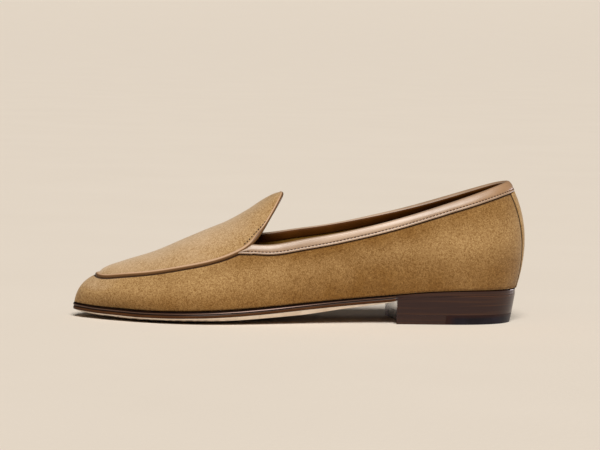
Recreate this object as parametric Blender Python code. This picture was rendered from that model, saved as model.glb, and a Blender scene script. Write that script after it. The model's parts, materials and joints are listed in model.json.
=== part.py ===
"""Suede loafer, left shoe, standing empty on its sole on z = 0.

The toe points to -X and the outer side of the foot to -Y. The tables are in millimetres:
a station is counted forward from the back of the heel, a height up from the floor, and a
width out from the straight line through heel and ball. Meshes are made in metres.
"""

from collections import namedtuple

import bmesh
import bpy
import numpy as np

MM = 0.001
SAME_PLACE = 1e-6  # metres
SHARP_EDGE = np.radians(40)

# Driving sizes
WALL = 2.0  # suede and lining together
GAP = 0.3  # between pieces that meet
SOLE_EDGE = 3.8  # height of the dressed edge in front of the heel
INSOLE_THICKNESS = 2.0
INSOLE_CLEARANCE = 0.5  # all round, to the inside of the wall
TOP_PIECE_THICKNESS = 5.5
THROAT_FOOT = 160.0  # station on the feather line below the corners of the throat
HEEL_BREAST = 79.0  # station of the front of the heel
BREAST_HOLLOW = 2.5
RUBBER_FRONT = 49.0  # station where the rubber of the top piece begins
HEEL_TAPER_LENGTH = 0.038  # share of the heel's length lost at the back by the floor
HEEL_TAPER_WIDTH = 0.05  # share of its width lost by the floor
TONGUE_LEAN = 19.2  # how far behind the apron's corners the top of the tongue lies
TONGUE_LEAN_POWER = 1.6
APRON_ARCH = 2.1  # 2 is a parabola, more is a fuller arch across the instep
BINDING_THICKNESS = 0.9
BINDING_SHOULDER = 0.3  # how far below the upper's edge the binding begins to fold over it
BINDING_LINING_GAP = 0.45  # between the binding and the inside of the wall
BINDING_INSIDE = 4.0  # how far the binding turns down inside
PIPING_WIDTH = 2.6
PIPING_RISE = 1.2
PIPING_GAP = 0.4  # the cord's flat underside over the seam's slight ridge
CORNER_LIFT = 0.7  # extra room where the cord crosses the binding's ends
TURN_START = 2.5  # distance past the corner where the cord begins to roll to the tongue's rim
TURN_LENGTH = 16.0
CORNER_REACH = 7.0  # distance over which that room is given
ROLL_LIFT = 0.5  # keeps the rolling cord clear of the rim's corner
STRIP_THICKNESS = 0.8
STRIP_HALF_WIDTH_LOW = 6.0
STRIP_HALF_WIDTH_HIGH = 8.5
FLAT_SHARE = 0.4  # share of the tread's half width that is flat before it rounds up

# How finely the pieces are faceted
FOREPART_RIBS = 24
QUARTER_RIBS = 24
WALL_ROWS = 8
APRON_COLUMNS = 12
SOLE_ROWS = 44
SOLE_COLUMNS = 6
INSOLE_ROWS = 32
INSOLE_COLUMNS = 4
HEEL_ROWS = 12
HEEL_COLUMNS = 6
TONGUE_STEPS = 26
PIPING_FACETS = 5
STRIP_ROWS = 9
STRIP_COLUMNS = 6

OUTER, INNER = -1, 1

# The feather line, where the upper meets the sole, seen from above
Tip = namedtuple("Tip", "station offset")
Width = namedtuple("Width", "station outer inner")
FEATHER_TIP = Tip(266.6, 2.6)
FEATHER_BACK = Tip(4.2, 0.0)
FEATHER = (
    Width(264.4, 2.6, 7.4),
    Width(259.8, 7.5, 12.1),
    Width(250.4, 15.3, 19.5),
    Width(236.0, 25.0, 27.8),
    Width(218.0, 33.6, 34.4),
    Width(198.0, 38.4, 37.4),
    Width(178.0, 38.2, 35.4),
    Width(158.0, 35.2, 30.8),
    Width(136.0, 31.0, 26.2),
    Width(108.0, 27.0, 23.6),
    Width(78.0, 25.8, 24.8),
    Width(48.0, 26.2, 26.0),
    Width(26.0, 23.4, 23.4),
    Width(12.0, 15.6, 15.6),
    Width(6.0, 7.6, 7.6),
)

# The edge of the apron, from its point at the toe to the corners of the throat. The inner side
# stands higher than the outer by its rise
Edge = namedtuple("Edge", "station outer inner height inner_rise")
APRON_TIP = Edge(253.4, -2.4, 2.4, 25.1, 0.0)
APRON = (
    Edge(252.2, 4.0, 8.6, 24.6, 0.0),
    Edge(248.5, 9.2, 13.0, 24.6, 0.0),
    Edge(240.2, 15.6, 18.2, 26.0, 0.0),
    Edge(223.3, 22.6, 23.6, 28.4, 0.0),
    Edge(206.0, 26.0, 25.8, 31.7, 0.2),
    Edge(194.2, 27.0, 26.4, 34.2, 0.6),
    Edge(182.3, 27.4, 26.4, 37.6, 1.2),
    Edge(174.0, 27.2, 26.2, 41.0, 1.9),
    Edge(165.5, 26.6, 25.6, 45.2, 2.6),
)

# The topline, from the corners of the throat to the back of the heel
TOPLINE = (
    Edge(155.0, 27.2, 26.2, 45.1, 2.6),
    Edge(137.0, 27.4, 26.4, 48.2, 1.9),
    Edge(119.0, 27.0, 26.0, 51.4, 1.4),
    Edge(101.0, 26.2, 25.4, 55.3, 1.1),
    Edge(87.0, 25.2, 24.6, 58.9, 0.9),
    Edge(75.0, 24.0, 23.6, 62.3, 0.6),
    Edge(55.0, 21.8, 21.6, 68.6, 0.1),
    Edge(38.8, 19.0, 19.0, 73.9, 0.0),
    Edge(26.0, 15.2, 15.2, 78.2, 0.0),
    Edge(15.6, 9.6, 9.6, 81.6, 0.0),
    Edge(12.1, 5.4, 5.4, 82.6, 0.0),
)
TOPLINE_BACK = Edge(10.8, 0.0, 0.0, 83.0, 0.0)

# The ridge of the instep, from the apron's point to the top of the tongue
Crest = namedtuple("Crest", "station height")
CREST = (
    Crest(253.4, 25.1),
    Crest(249.6, 28.6),
    Crest(237.7, 33.2),
    Crest(219.9, 39.0),
    Crest(202.1, 46.9),
    Crest(190.1, 52.2),
    Crest(178.3, 57.2),
    Crest(166.4, 63.9),
    Crest(154.5, 71.8),
    Crest(149.0, 74.5),
    Crest(144.8, 75.4),
)

# How the wall swells between the feather line and its upper edge
Swell = namedtuple("Swell", "station outer inner fall")
SWELL = (
    Swell(4.2, 6.8, 6.8, 0.9),
    Swell(40.0, 5.2, 5.2, 0.9),
    Swell(78.0, 3.4, 3.0, 1.0),
    Swell(110.0, 2.4, 1.4, 1.1),
    Swell(140.0, 2.4, 1.6, 1.2),
    Swell(165.0, 3.2, 2.8, 1.3),
    Swell(198.0, 3.8, 3.8, 1.4),
    Swell(236.0, 4.1, 4.1, 1.3),
    Swell(266.6, 3.1, 3.1, 1.0),
)

# The sole along its length: rim and tread give the arch and the toe spring, dish the hollow
# under the ball, margin the ledge outside the upper, edge the height of the dressed edge, bevel
# the slant under it
Sole = namedtuple("Sole", "station rim tread dish margin edge bevel bevel_run")
SOLE = (
    Sole(4.2, 20.6, 16.9, 0.0, -0.4, 3.3, 0.0, 0.3),
    Sole(30.0, 20.5, 17.1, 0.0, -0.4, 3.0, 0.0, 0.3),
    Sole(54.6, 19.7, 16.5, 0.0, -0.4, 2.8, 0.0, 0.3),
    Sole(79.0, 17.7, 13.9, 0.0, -0.2, 3.4, 0.0, 0.3),
    Sole(82.0, 17.4, 12.9, 0.1, -0.1, 3.8, 0.3, 0.6),
    Sole(111.4, 14.8, 7.8, 0.5, 0.3, 3.8, 1.9, 2.2),
    Sole(135.5, 12.5, 4.4, 0.9, 0.8, 3.8, 3.0, 3.4),
    Sole(156.4, 10.5, 2.4, 1.3, 1.2, 3.8, 2.6, 3.4),
    Sole(174.9, 9.1, 1.1, 1.6, 1.5, 3.8, 2.4, 3.2),
    Sole(196.0, 8.0, 0.0, 1.6, 1.6, 3.8, 1.7, 3.0),
    Sole(228.0, 7.2, 0.0, 1.4, 1.6, 3.8, 1.3, 2.8),
    Sole(242.7, 7.5, 0.8, 1.0, 1.5, 3.8, 1.2, 2.6),
    Sole(253.6, 7.7, 1.9, 0.6, 1.2, 3.8, 1.0, 2.2),
    Sole(266.6, 8.5, 3.9, 0.0, 0.6, 3.8, 0.5, 1.6),
)

# The dressed edge of the sole: a bead along its top, then a groove, then a plain face
Step = namedtuple("Step", "out drop")
SOLE_STEPS = (
    Step(-0.5, 0.0),
    Step(0.0, 0.6),
    Step(0.0, 1.2),
    Step(-0.4, 1.6),
    Step(-0.1, 2.0),
    Step(-0.1, SOLE_EDGE),
)

# Height of the binding's outer leaf along the topline
Leaf = namedtuple("Leaf", "station height")
BINDING_LEAF = (
    Leaf(10.8, 5.5),
    Leaf(30.0, 5.7),
    Leaf(50.0, 5.3),
    Leaf(80.0, 4.9),
    Leaf(108.0, 4.7),
    Leaf(137.0, 5.2),
    Leaf(165.5, 5.2),
)

Finish = namedtuple("Finish", "color roughness")
SUEDE = Finish((0.41, 0.235, 0.09), 0.95)
SMOOTH_LEATHER = Finish((0.53, 0.33, 0.18), 0.4)
SOLE_LEATHER = Finish((0.075, 0.032, 0.018), 0.3)
STACKED_LEATHER = Finish((0.06, 0.03, 0.02), 0.3)
RUBBER = Finish((0.018, 0.014, 0.014), 0.5)
LINING_LEATHER = Finish((0.36, 0.21, 0.1), 0.55)


def along(table, column, at):
    """A column of a table read at stations, smooth and with no overshoot between its rows."""
    knots = np.array([row.station for row in table])
    values = np.array([getattr(row, column) for row in table])
    order = np.argsort(knots)
    knots, values = knots[order], values[order]
    at = np.clip(at, knots[0], knots[-1])
    gaps = np.diff(knots)
    slopes = np.diff(values) / gaps
    before, after = slopes[:-1], slopes[1:]
    same_way = before * after > 0
    heavy, light = 2 * gaps[1:] + gaps[:-1], gaps[1:] + 2 * gaps[:-1]
    share = heavy * np.where(same_way, after, 1) + light * np.where(same_way, before, 1)
    tangents = np.zeros(len(knots))
    tangents[1:-1] = np.where(same_way, (heavy + light) * before * after / share, 0)
    tangents[0], tangents[-1] = slopes[0], slopes[-1]
    i = np.clip(np.searchsorted(knots, at, side="right") - 1, 0, len(gaps) - 1)
    t = (at - knots[i]) / gaps[i]
    rise = values[i + 1] - values[i]
    start, end = gaps[i] * tangents[i], gaps[i] * tangents[i + 1]
    return values[i] + t * (start + t * (3 * rise - 2 * start - end + t * (start + end - 2 * rise)))


def chord(points):
    """Distance run along a row of points."""
    return np.concatenate([[0], np.cumsum(np.linalg.norm(np.diff(points, axis=0), axis=1))])


class Curve:
    """The natural cubic curve through a row of points, read at distances along it."""

    def __init__(self, points):
        self.points = np.asarray(points, float)
        self.knots = chord(self.points)
        self.gaps = np.diff(self.knots)
        slopes = np.diff(self.points, axis=0) / self.gaps[:, None]
        system = np.eye(len(self.knots))
        target = np.zeros_like(self.points)
        for i in range(1, len(self.gaps)):
            before, after = self.gaps[i - 1], self.gaps[i]
            system[i, i - 1 : i + 2] = before, 2 * (before + after), after
            target[i] = 6 * (slopes[i] - slopes[i - 1])
        self.bend = np.linalg.solve(system, target)

    def at(self, place):
        i = np.clip(np.searchsorted(self.knots, place, side="right") - 1, 0, len(self.gaps) - 1)
        gap = self.gaps[i][:, None]
        passed = (place - self.knots[i])[:, None]
        left = gap - passed
        bent = (self.bend[i] * left**3 + self.bend[i + 1] * passed**3) / (6 * gap)
        start = self.points[i] / gap - self.bend[i] * gap / 6
        end = self.points[i + 1] / gap - self.bend[i + 1] * gap / 6
        return bent + start * left + end * passed


def unit(vectors):
    return vectors / np.linalg.norm(vectors, axis=-1, keepdims=True)


def square_to(run, vectors):
    """Unit vectors turned square to a run, in the plane of the two."""
    run = unit(run)
    return unit(vectors - run * np.sum(vectors * run, axis=-1, keepdims=True))


def both_sides(rows):
    """Plan points of a table on the outer side and on the inner side."""
    outer = np.array([[row.station, -row.outer] for row in rows])
    inner = np.array([[row.station, row.inner] for row in rows])
    return {OUTER: outer, INNER: inner}


def edge_points(rows):
    """Points of an upper edge on both sides, with the inner side at its greater height."""
    plan = both_sides(rows)
    height = np.array([row.height for row in rows])
    inner_height = height + [row.inner_rise for row in rows]
    return {
        OUTER: np.column_stack([plan[OUTER], height]),
        INNER: np.column_stack([plan[INNER], inner_height]),
    }


class FeatherLine:
    """The closed outline of the last's bottom, read by side and by share from toe to heel."""

    def __init__(self):
        sides = both_sides(FEATHER)
        loop = np.vstack([[FEATHER_TIP], sides[OUTER], [FEATHER_BACK], sides[INNER][::-1]])
        self.curve = Curve(np.vstack([loop, loop, loop, loop[:1]]))
        self.start, self.end = self.curve.knots[[len(loop), 2 * len(loop)]]
        self.back = self.curve.knots[len(loop) + 1 + len(FEATHER)]

    def at(self, side, share, margin=0.0):
        """Plan points moved outwards by a margin, and the outward ways there."""
        step = 0.05
        toe = self.start if side == OUTER else self.end
        place = toe + (self.back - toe) * np.asarray(share, float)
        tangent = unit(self.curve.at(place + step) - self.curve.at(place - step))
        outward = np.stack([-tangent[:, 1], tangent[:, 0]], axis=1)
        margin = np.broadcast_to(margin, place.shape)[:, None]
        return self.curve.at(place) + outward * margin, outward

    def share_at(self, side, station):
        """The share at which one side passes a station behind the ball."""
        shares = np.linspace(0, 1, 400)
        stations = self.at(side, shares)[0][:, 0]
        return np.interp(-station, -stations, shares)


class EdgeLine:
    """The upper edge of the wall on one side: the apron's edge, then the topline."""

    def __init__(self, side):
        seam = edge_points(APRON)
        point = [[APRON_TIP.station, APRON_TIP.inner, APRON_TIP.height]]
        self.apron = Curve(np.vstack([seam[-side][::-1], point, seam[side]]))
        self.point = self.apron.knots[len(APRON)]
        collar = edge_points((APRON[-1],) + TOPLINE)
        back = [[TOPLINE_BACK.station, 0.0, TOPLINE_BACK.height]]
        self.topline = Curve(np.vstack([collar[side], back, collar[-side][::-1]]))
        self.back = self.topline.knots[1 + len(TOPLINE)]

    def at(self, reach):
        """Reach 0 is the apron's point, 1 the corner of the throat and 2 the heel's back."""
        seam = self.apron.knots[-1] - self.point
        on_seam = self.apron.at(self.point + seam * np.minimum(reach, 1))
        on_collar = self.topline.at(self.back * np.maximum(reach - 1, 0))
        return np.where((reach <= 1)[:, None], on_seam, on_collar)


FEATHER_LINE = FeatherLine()
EDGE_LINE = {side: EdgeLine(side) for side in (OUTER, INNER)}
FORE_REACH = np.linspace(0, 1, FOREPART_RIBS + 1)
REAR_REACH = np.linspace(1, 2, QUARTER_RIBS + 1)[1:]
RIB_AT_THROAT = {side: FEATHER_LINE.share_at(side, THROAT_FOOT) for side in (OUTER, INNER)}


def feather(side, reach):
    """Foot of a rib of the wall, with reach counted as on its upper edge."""
    throat = RIB_AT_THROAT[side]
    share = np.where(reach < 1, throat * reach, throat + (1 - throat) * (reach - 1))
    plan, outward = FEATHER_LINE.at(side, share)
    return np.column_stack([plan, along(SOLE, "rim", plan[:, 0])]), outward


def wall(side, reach, rise):
    """The outside of the wall: rise 0 is the feather line and 1 the apron's edge or topline."""
    reach, rise = np.broadcast_arrays(np.asarray(reach, float), np.asarray(rise, float))
    shape = reach.shape
    reach, rise = reach.ravel(), rise.ravel()
    foot, outward = feather(side, reach)
    top = EDGE_LINE[side].at(reach)
    lift = top - foot
    out = np.column_stack([outward, np.zeros(len(foot))])
    swell_way = square_to(lift, out)
    fall = along(SWELL, "fall", foot[:, 0])
    fullest = 1 / (1 + fall)
    most = fullest * (1 - fullest) ** fall
    swell = along(SWELL, "outer" if side == OUTER else "inner", foot[:, 0])
    swell = swell * rise * np.maximum(1 - rise, 0) ** fall / most
    points = foot + lift * rise[:, None] + swell_way * swell[:, None]
    return points.reshape(shape + (3,))


def apron(reach, across):
    """The apron: across runs from -1 at its outer edge over the instep to 1 at the inner."""
    reach, across = np.broadcast_arrays(np.asarray(reach, float), np.asarray(across, float))
    shape = reach.shape
    reach, across = reach.ravel(), across.ravel()
    outer, inner = EDGE_LINE[OUTER].at(reach), EDGE_LINE[INNER].at(reach)
    base = outer + (inner - outer) * ((1 + across) / 2)[:, None]
    arch = 1 - np.abs(across) ** APRON_ARCH
    crest_station = (outer[:, 0] + inner[:, 0]) / 2 - TONGUE_LEAN * reach**TONGUE_LEAN_POWER
    crest_height = along(CREST, "height", crest_station)
    points = base.copy()
    points[:, 0] += (crest_station - base[:, 0]) * arch
    points[:, 2] += (crest_height - base[:, 2]) * arch
    return points.reshape(shape + (3,))


def wall_normal(side, reach, rise):
    """The outward way, worked out on one side of the throat's corner at a time."""
    step = 0.002
    front = np.asarray(reach) <= 1
    rise = np.clip(rise, step, 1 - step)
    ahead = wall(side, np.minimum(reach + step, np.where(front, 1, 2)), rise)
    behind = wall(side, np.maximum(reach - step, np.where(front, 0, 1)), rise)
    upward = wall(side, reach, rise + step) - wall(side, reach, rise - step)
    return unit(np.cross(ahead - behind, upward) * side)


def apron_normal(reach, across):
    step = 0.004
    reach = np.clip(reach, 5 * step, 1 - step)
    across = np.clip(across, step - 1, 1 - step)
    lengthways = apron(reach - step, across) - apron(reach + step, across)
    crossways = apron(reach, across + step) - apron(reach, across - step)
    return unit(np.cross(lengthways, crossways))


def on_wall(side, reach, below, out):
    """A point at a depth below the wall's upper edge, moved outwards from its surface."""
    reach, below = np.broadcast_arrays(np.asarray(reach, float), np.asarray(below, float))
    height = np.linalg.norm(wall(side, reach, 1.0) - wall(side, reach, 0.0), axis=-1)
    rise = 1 - np.maximum(below, 0) / height
    top_facet = 1 - 0.5 / WALL_ROWS
    edge_way = unit(wall(side, reach, 1.0) - wall(side, reach, top_facet))
    above = np.maximum(-below, 0)[..., None] * edge_way
    normal = wall_normal(side, reach, np.minimum(rise, top_facet))
    return wall(side, reach, rise) + above + normal * out


def mesh_of(name, vertices, faces):
    """A mesh in metres, toe towards -X, with coincident corners joined and faces outwards."""
    shape = bmesh.new()
    corners = [shape.verts.new((-x * MM, y * MM, z * MM)) for x, y, z in vertices]
    for face in faces:
        shape.faces.new([corners[i] for i in face])
    bmesh.ops.remove_doubles(shape, verts=shape.verts, dist=SAME_PLACE)
    bmesh.ops.dissolve_degenerate(shape, edges=shape.edges, dist=SAME_PLACE / 10)
    bmesh.ops.recalc_face_normals(shape, faces=shape.faces)
    mesh = bpy.data.meshes.new(name)
    shape.to_mesh(mesh)
    shape.free()
    mesh.shade_smooth()
    mesh.set_sharp_from_angle(angle=SHARP_EDGE)
    return mesh


def finish_of(name, finish):
    material = bpy.data.materials.new(name)
    material.use_nodes = True
    shader = material.node_tree.nodes["Principled BSDF"]
    shader.inputs["Base Color"].default_value = (*finish.color, 1)
    shader.inputs["Roughness"].default_value = finish.roughness
    shader.inputs["Metallic"].default_value = 0.0
    return material


def piece(name, mesh, finish, parent):
    part = bpy.data.objects.new(name, mesh)
    mesh.materials.append(finish_of(name, finish))
    bpy.context.scene.collection.objects.link(part)
    part.parent = parent
    return part


def grid_faces(rows, columns, first=0):
    """Quads of a grid whose corners are numbered row by row from first."""
    at = first + np.arange(rows * columns).reshape(rows, columns)
    quads = np.stack([at[:-1, :-1], at[1:, :-1], at[1:, 1:], at[:-1, 1:]], axis=-1)
    return [tuple(quad) for quad in quads.reshape(-1, 4).tolist()]


def rim_of(grid):
    """The border of a grid of points, once round."""
    rim = [grid[0, :-1], grid[:-1, -1], grid[-1, :0:-1], grid[:0:-1, 0]]
    return np.concatenate(rim)


def plate(name, layers):
    """A closed solid: the first and last grids are its faces, the others shape its side."""
    rows, columns = layers[0].shape[:2]
    top, bottom = layers[0].reshape(-1, 3), layers[-1].reshape(-1, 3)
    rims = np.stack([rim_of(layer) for layer in layers])
    levels, around = rims.shape[:2]
    vertices = np.concatenate([top, bottom, rims.reshape(-1, 3)])
    faces = grid_faces(rows, columns) + grid_faces(rows, columns, len(top))
    closed = np.concatenate([np.arange(around), [0]])
    first = 2 * len(top)
    for level in range(levels - 1):
        upper, lower = first + level * around, first + (level + 1) * around
        for a, b in zip(closed[:-1], closed[1:]):
            faces.append((upper + a, upper + b, lower + b, lower + a))
    return mesh_of(name, vertices, faces)


def sweep(name, sections, closed):
    """A closed solid through rings of points, capped at its ends unless it runs round."""
    count, around = sections.shape[:2]
    faces = []
    for i in range(count if closed else count - 1):
        here, there = i * around, (i + 1) % count * around
        for j in range(around):
            k = (j + 1) % around
            faces.append((here + j, here + k, there + k, there + j))
    if not closed:
        faces.append(tuple(range(around)))
        faces.append(tuple(range((count - 1) * around, count * around)))
    return mesh_of(name, sections.reshape(-1, 3), faces)


def upper_skin():
    """The outside of the upper: the wall once round the shoe, and the apron over the instep."""
    reach = np.concatenate([FORE_REACH, REAR_REACH])
    rise = np.linspace(0, 1, WALL_ROWS + 1)
    patches = [wall(side, reach[:, None], rise[None, :]) for side in (OUTER, INNER)]
    across = np.linspace(-1, 1, APRON_COLUMNS + 1)
    patches.append(apron(FORE_REACH[:, None], across[None, :]))
    vertices, faces = [], []
    for patch in patches:
        faces += grid_faces(*patch.shape[:2], first=len(vertices))
        vertices += list(patch.reshape(-1, 3))
    return vertices, faces


def upper(parent):
    """Wall and apron as one shell, open at the collar and underneath."""
    shell = piece("upper", mesh_of("upper", *upper_skin()), SUEDE, parent)
    if upward_share(shell.data) < 0:
        shell.data.flip_normals()
    thick = shell.modifiers.new("wall", "SOLIDIFY")
    thick.thickness = WALL * MM
    thick.offset = -1.0
    thick.use_quality_normals = True
    return shell


def upward_share(mesh):
    """Positive where the faces of an open skin look outwards, for the instep faces up."""
    return sum(face.normal.z * face.area for face in mesh.polygons)


def between(sides, across):
    """Rows of points from the outer side of an outline to the inner."""
    mix = ((1 + across) / 2)[None, :, None]
    return sides[0][:, None] * (1 - mix) + sides[1][:, None] * mix


def sole_grid(rows, columns, out, height):
    """A grid over the sole's outline, moved outwards, at heights given by station and across."""
    share = (1 - np.cos(np.linspace(0, np.pi, rows + 1))) / 2
    share = (share + np.linspace(0, 1, rows + 1)) / 2
    sides = []
    for side in (OUTER, INNER):
        station = FEATHER_LINE.at(side, share)[0][:, 0]
        sides.append(FEATHER_LINE.at(side, share, out(station))[0])
    across = np.linspace(-1, 1, columns + 1)
    plan = between(sides, across)
    heights = height(plan[..., 0], np.broadcast_to(across, plan.shape[:2]))
    grid = np.concatenate([plan, heights[..., None]], axis=-1)
    for end in (0, -1):
        grid[end] = grid[end].mean(axis=0)
    return grid


def seat(station, across):
    """The top of the outsole, hollowed a little under the ball."""
    hollow = along(SOLE, "dish", station) * (1 - across**2)
    return along(SOLE, "rim", station) - GAP - hollow


def tread(station, across):
    """The underside of the outsole: a flat spot at the ball that rounds up to the bevel."""
    middle = along(SOLE, "tread", station)
    edge = along(SOLE, "edge", station)
    side = along(SOLE, "rim", station) - GAP - edge - along(SOLE, "bevel", station)
    turn = np.maximum(np.abs(across) - FLAT_SHARE, 0) / (1 - FLAT_SHARE)
    return middle + np.maximum(side - middle, 0) * turn**2


def outsole(parent):
    """The sole with its arch, toe spring, dressed edge and bevel."""
    layers = []
    for step in SOLE_STEPS:
        def out(station, step=step):
            return along(SOLE, "margin", station) + step.out

        def height(station, across, step=step):
            return seat(station, across) - step.drop * along(SOLE, "edge", station) / SOLE_EDGE

        layers.append(sole_grid(SOLE_ROWS, SOLE_COLUMNS, out, height))

    def under(station):
        return along(SOLE, "margin", station) - along(SOLE, "bevel_run", station)

    layers.append(sole_grid(SOLE_ROWS, SOLE_COLUMNS, under, tread))
    piece("outsole", plate("outsole", layers), SOLE_LEATHER, parent)


def insole(parent):
    """The covered board inside the upper, lying on the outsole."""
    layers = []
    for lift in (GAP + INSOLE_THICKNESS, GAP):
        def inset(station):
            return np.full_like(station, -(WALL + INSOLE_CLEARANCE))

        def height(station, across, lift=lift):
            return seat(station, across) + lift

        layers.append(sole_grid(INSOLE_ROWS, INSOLE_COLUMNS, inset, height))
    piece("insole", plate("insole", layers), LINING_LEATHER, parent)


def heel_grid(front, back, height):
    """A grid over the heel's outline between two stations, tapered towards the floor."""
    sides = []
    for side in (OUTER, INNER):
        start = FEATHER_LINE.share_at(side, front)
        end = FEATHER_LINE.share_at(side, back) if back else 1.0
        share = start + (end - start) * np.linspace(0, 1, HEEL_ROWS + 1)
        station = FEATHER_LINE.at(side, share)[0][:, 0]
        sides.append(FEATHER_LINE.at(side, share, along(SOLE, "margin", station) - GAP)[0])
    across = np.linspace(-1, 1, HEEL_COLUMNS + 1)
    plan = between(sides, across)
    if not back:
        plan[-1] = plan[-1].mean(axis=0)
    if front == HEEL_BREAST:
        fade = np.linspace(1, 0, HEEL_ROWS + 1)[:, None] ** 3
        plan[..., 0] -= BREAST_HOLLOW * fade * (1 - across[None, :] ** 2)
    top = along(SOLE, "tread", HEEL_BREAST)
    heights = height(plan[..., 0])
    taper = np.clip(1 - heights / top, 0, 1)
    plan[..., 0] = HEEL_BREAST - (HEEL_BREAST - plan[..., 0]) * (1 - HEEL_TAPER_LENGTH * taper)
    plan[..., 1] *= 1 - HEEL_TAPER_WIDTH * taper
    return np.concatenate([plan, heights[..., None]], axis=-1)


def level(height):
    return lambda station: np.full_like(station, height)


def heel(parent):
    """The stacked heel block and the two halves of its walking face."""
    def under_sole(station):
        return along(SOLE, "tread", np.minimum(station, HEEL_BREAST)) - GAP

    block = [heel_grid(HEEL_BREAST, None, under_sole)]
    block.append(heel_grid(HEEL_BREAST, None, level(TOP_PIECE_THICKNESS + GAP)))
    piece("heel_block", plate("heel_block", block), STACKED_LEATHER, parent)
    faces = (
        ("top_piece_leather", HEEL_BREAST, RUBBER_FRONT, SOLE_LEATHER),
        ("top_piece_rubber", RUBBER_FRONT - GAP, None, RUBBER),
    )
    for name, front, back, finish in faces:
        layers = [heel_grid(front, back, level(z)) for z in (TOP_PIECE_THICKNESS, 0.0)]
        piece(name, plate(name, layers), finish, parent)


def binding_section(side, reach):
    """One ring of the folded binding, over the upper's edge."""
    station = EDGE_LINE[side].at(reach)[:, 0]
    leaf = along(BINDING_LEAF, "height", station)
    near, far = GAP, GAP + BINDING_THICKNESS
    inside = -(WALL + BINDING_LINING_GAP)
    inside_far = inside - BINDING_THICKNESS
    ring = (
        (leaf, near),
        (leaf, far),
        (leaf / 2, far),
        (BINDING_SHOULDER, far),
        (-far, -0.1 * WALL),
        (-far, -0.9 * WALL),
        (BINDING_SHOULDER, inside_far),
        (BINDING_INSIDE, inside_far),
        (BINDING_INSIDE, inside),
        (-near, inside),
        (-near, near),
        (leaf / 2, near),
    )
    return np.stack([on_wall(side, reach, below, out) for below, out in ring], axis=1)


def collar_binding(parent):
    """The strip folded over the topline, from one corner of the throat round to the other."""
    outer = binding_section(OUTER, REAR_REACH)
    inner = binding_section(INNER, REAR_REACH[:-1])[::-1]
    rings = np.concatenate([outer, inner])
    piece("collar_binding", sweep("collar_binding", rings, False), SMOOTH_LEATHER, parent)


def back_strip(parent):
    """The suede strip over the seam at the back of the heel, below the binding."""
    top = BINDING_LEAF[0].height + GAP
    length = np.linalg.norm(wall(OUTER, 2.0, 1.0) - wall(OUTER, 2.0, 0.0))
    share = np.linspace(0, 1, STRIP_ROWS + 1)[:, None]
    below = length - GAP + (top - length + GAP) * share
    half_width = STRIP_HALF_WIDTH_LOW + (STRIP_HALF_WIDTH_HIGH - STRIP_HALF_WIDTH_LOW) * share
    quarter = EDGE_LINE[OUTER].back
    layers = []
    for out in (GAP + STRIP_THICKNESS, GAP):
        across = np.linspace(-1, 1, STRIP_COLUMNS + 1)[None, :]
        reach = 2 - half_width * np.abs(across) / quarter
        outer = on_wall(OUTER, reach, below, out)
        inner = on_wall(INNER, reach, below, out)
        layers.append(np.where(across[..., None] <= 0, outer, inner))
    piece("back_strip", plate("back_strip", layers), SUEDE, parent)


def piping_path():
    """The seam round the apron and the tongue's edge, with the ways the cord sits proud."""
    seams, seam_ways = [], []
    for side, reach in ((OUTER, FORE_REACH[::-1]), (INNER, FORE_REACH[1:])):
        across = np.full_like(reach, side)
        seams.append(apron(reach, across))
        seam_ways.append(unit(wall_normal(side, reach, 1.0) + apron_normal(reach, across)))
    tongue = np.cos(np.linspace(0, np.pi, TONGUE_STEPS + 1))[1:-1]
    rim = apron(1.0, tongue)
    rim_way = apron_normal(np.ones_like(tongue), tongue)
    before_rim = 0.97
    past_rim = square_to(np.gradient(rim, axis=0), rim - apron(before_rim, tongue))
    places = np.concatenate(seams + [rim])
    corners = places[[0, 2 * FOREPART_RIBS]]
    from_corner = np.linalg.norm(places[:, None] - corners[None], axis=-1).min(axis=1)
    turn = np.clip((from_corner[-len(rim) :] - TURN_START) / TURN_LENGTH, 0, 1)
    turn = (turn * turn * (3 - 2 * turn) * np.pi / 2)[:, None]
    places[-len(rim) :] -= rim_way * np.sin(turn) * WALL / 2
    ways = np.concatenate(seam_ways + [rim_way * np.cos(turn) + past_rim * np.sin(turn)])
    lift = PIPING_GAP + CORNER_LIFT * np.exp(-((from_corner / CORNER_REACH) ** 2))
    lift[-len(rim) :] += ROLL_LIFT * np.sin(2 * turn[:, 0])
    return places + ways * lift[:, None], ways


def apron_piping(parent):
    """The half-round cord in the apron's seam, closed round the top of the tongue."""
    places, ways = piping_path()
    run = unit(np.roll(places, -1, axis=0) - np.roll(places, 1, axis=0))
    ways = square_to(run, ways)
    aside = np.cross(run, ways)
    turns = np.linspace(0, np.pi, PIPING_FACETS + 1)
    half = PIPING_WIDTH / 2
    rings = [places + aside * np.cos(t) * half + ways * np.sin(t) * PIPING_RISE for t in turns]
    rings = np.stack(rings, axis=1)
    piece("apron_piping", sweep("apron_piping", rings, True), SMOOTH_LEATHER, parent)


def middle_of_sole():
    """The centre of the sole's outline, which stands over the origin."""
    share = np.linspace(0, 1, 200)
    edges = []
    for side in (OUTER, INNER):
        station = FEATHER_LINE.at(side, share)[0][:, 0]
        edges.append(FEATHER_LINE.at(side, share, along(SOLE, "margin", station))[0])
    low, high = np.concatenate(edges).min(axis=0), np.concatenate(edges).max(axis=0)
    return high[0] / 2, (low[1] + high[1]) / 2


def main():
    for old in list(bpy.data.objects):
        bpy.data.objects.remove(old, do_unlink=True)
    half_length, aside = middle_of_sole()
    loafer = bpy.data.objects.new("loafer", None)
    loafer.location = (half_length * MM, -aside * MM, 0)
    bpy.context.scene.collection.objects.link(loafer)
    for make in (outsole, heel, insole, upper, collar_binding, back_strip, apron_piping):
        make(loafer)
    bpy.context.view_layer.update()


main()
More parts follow.
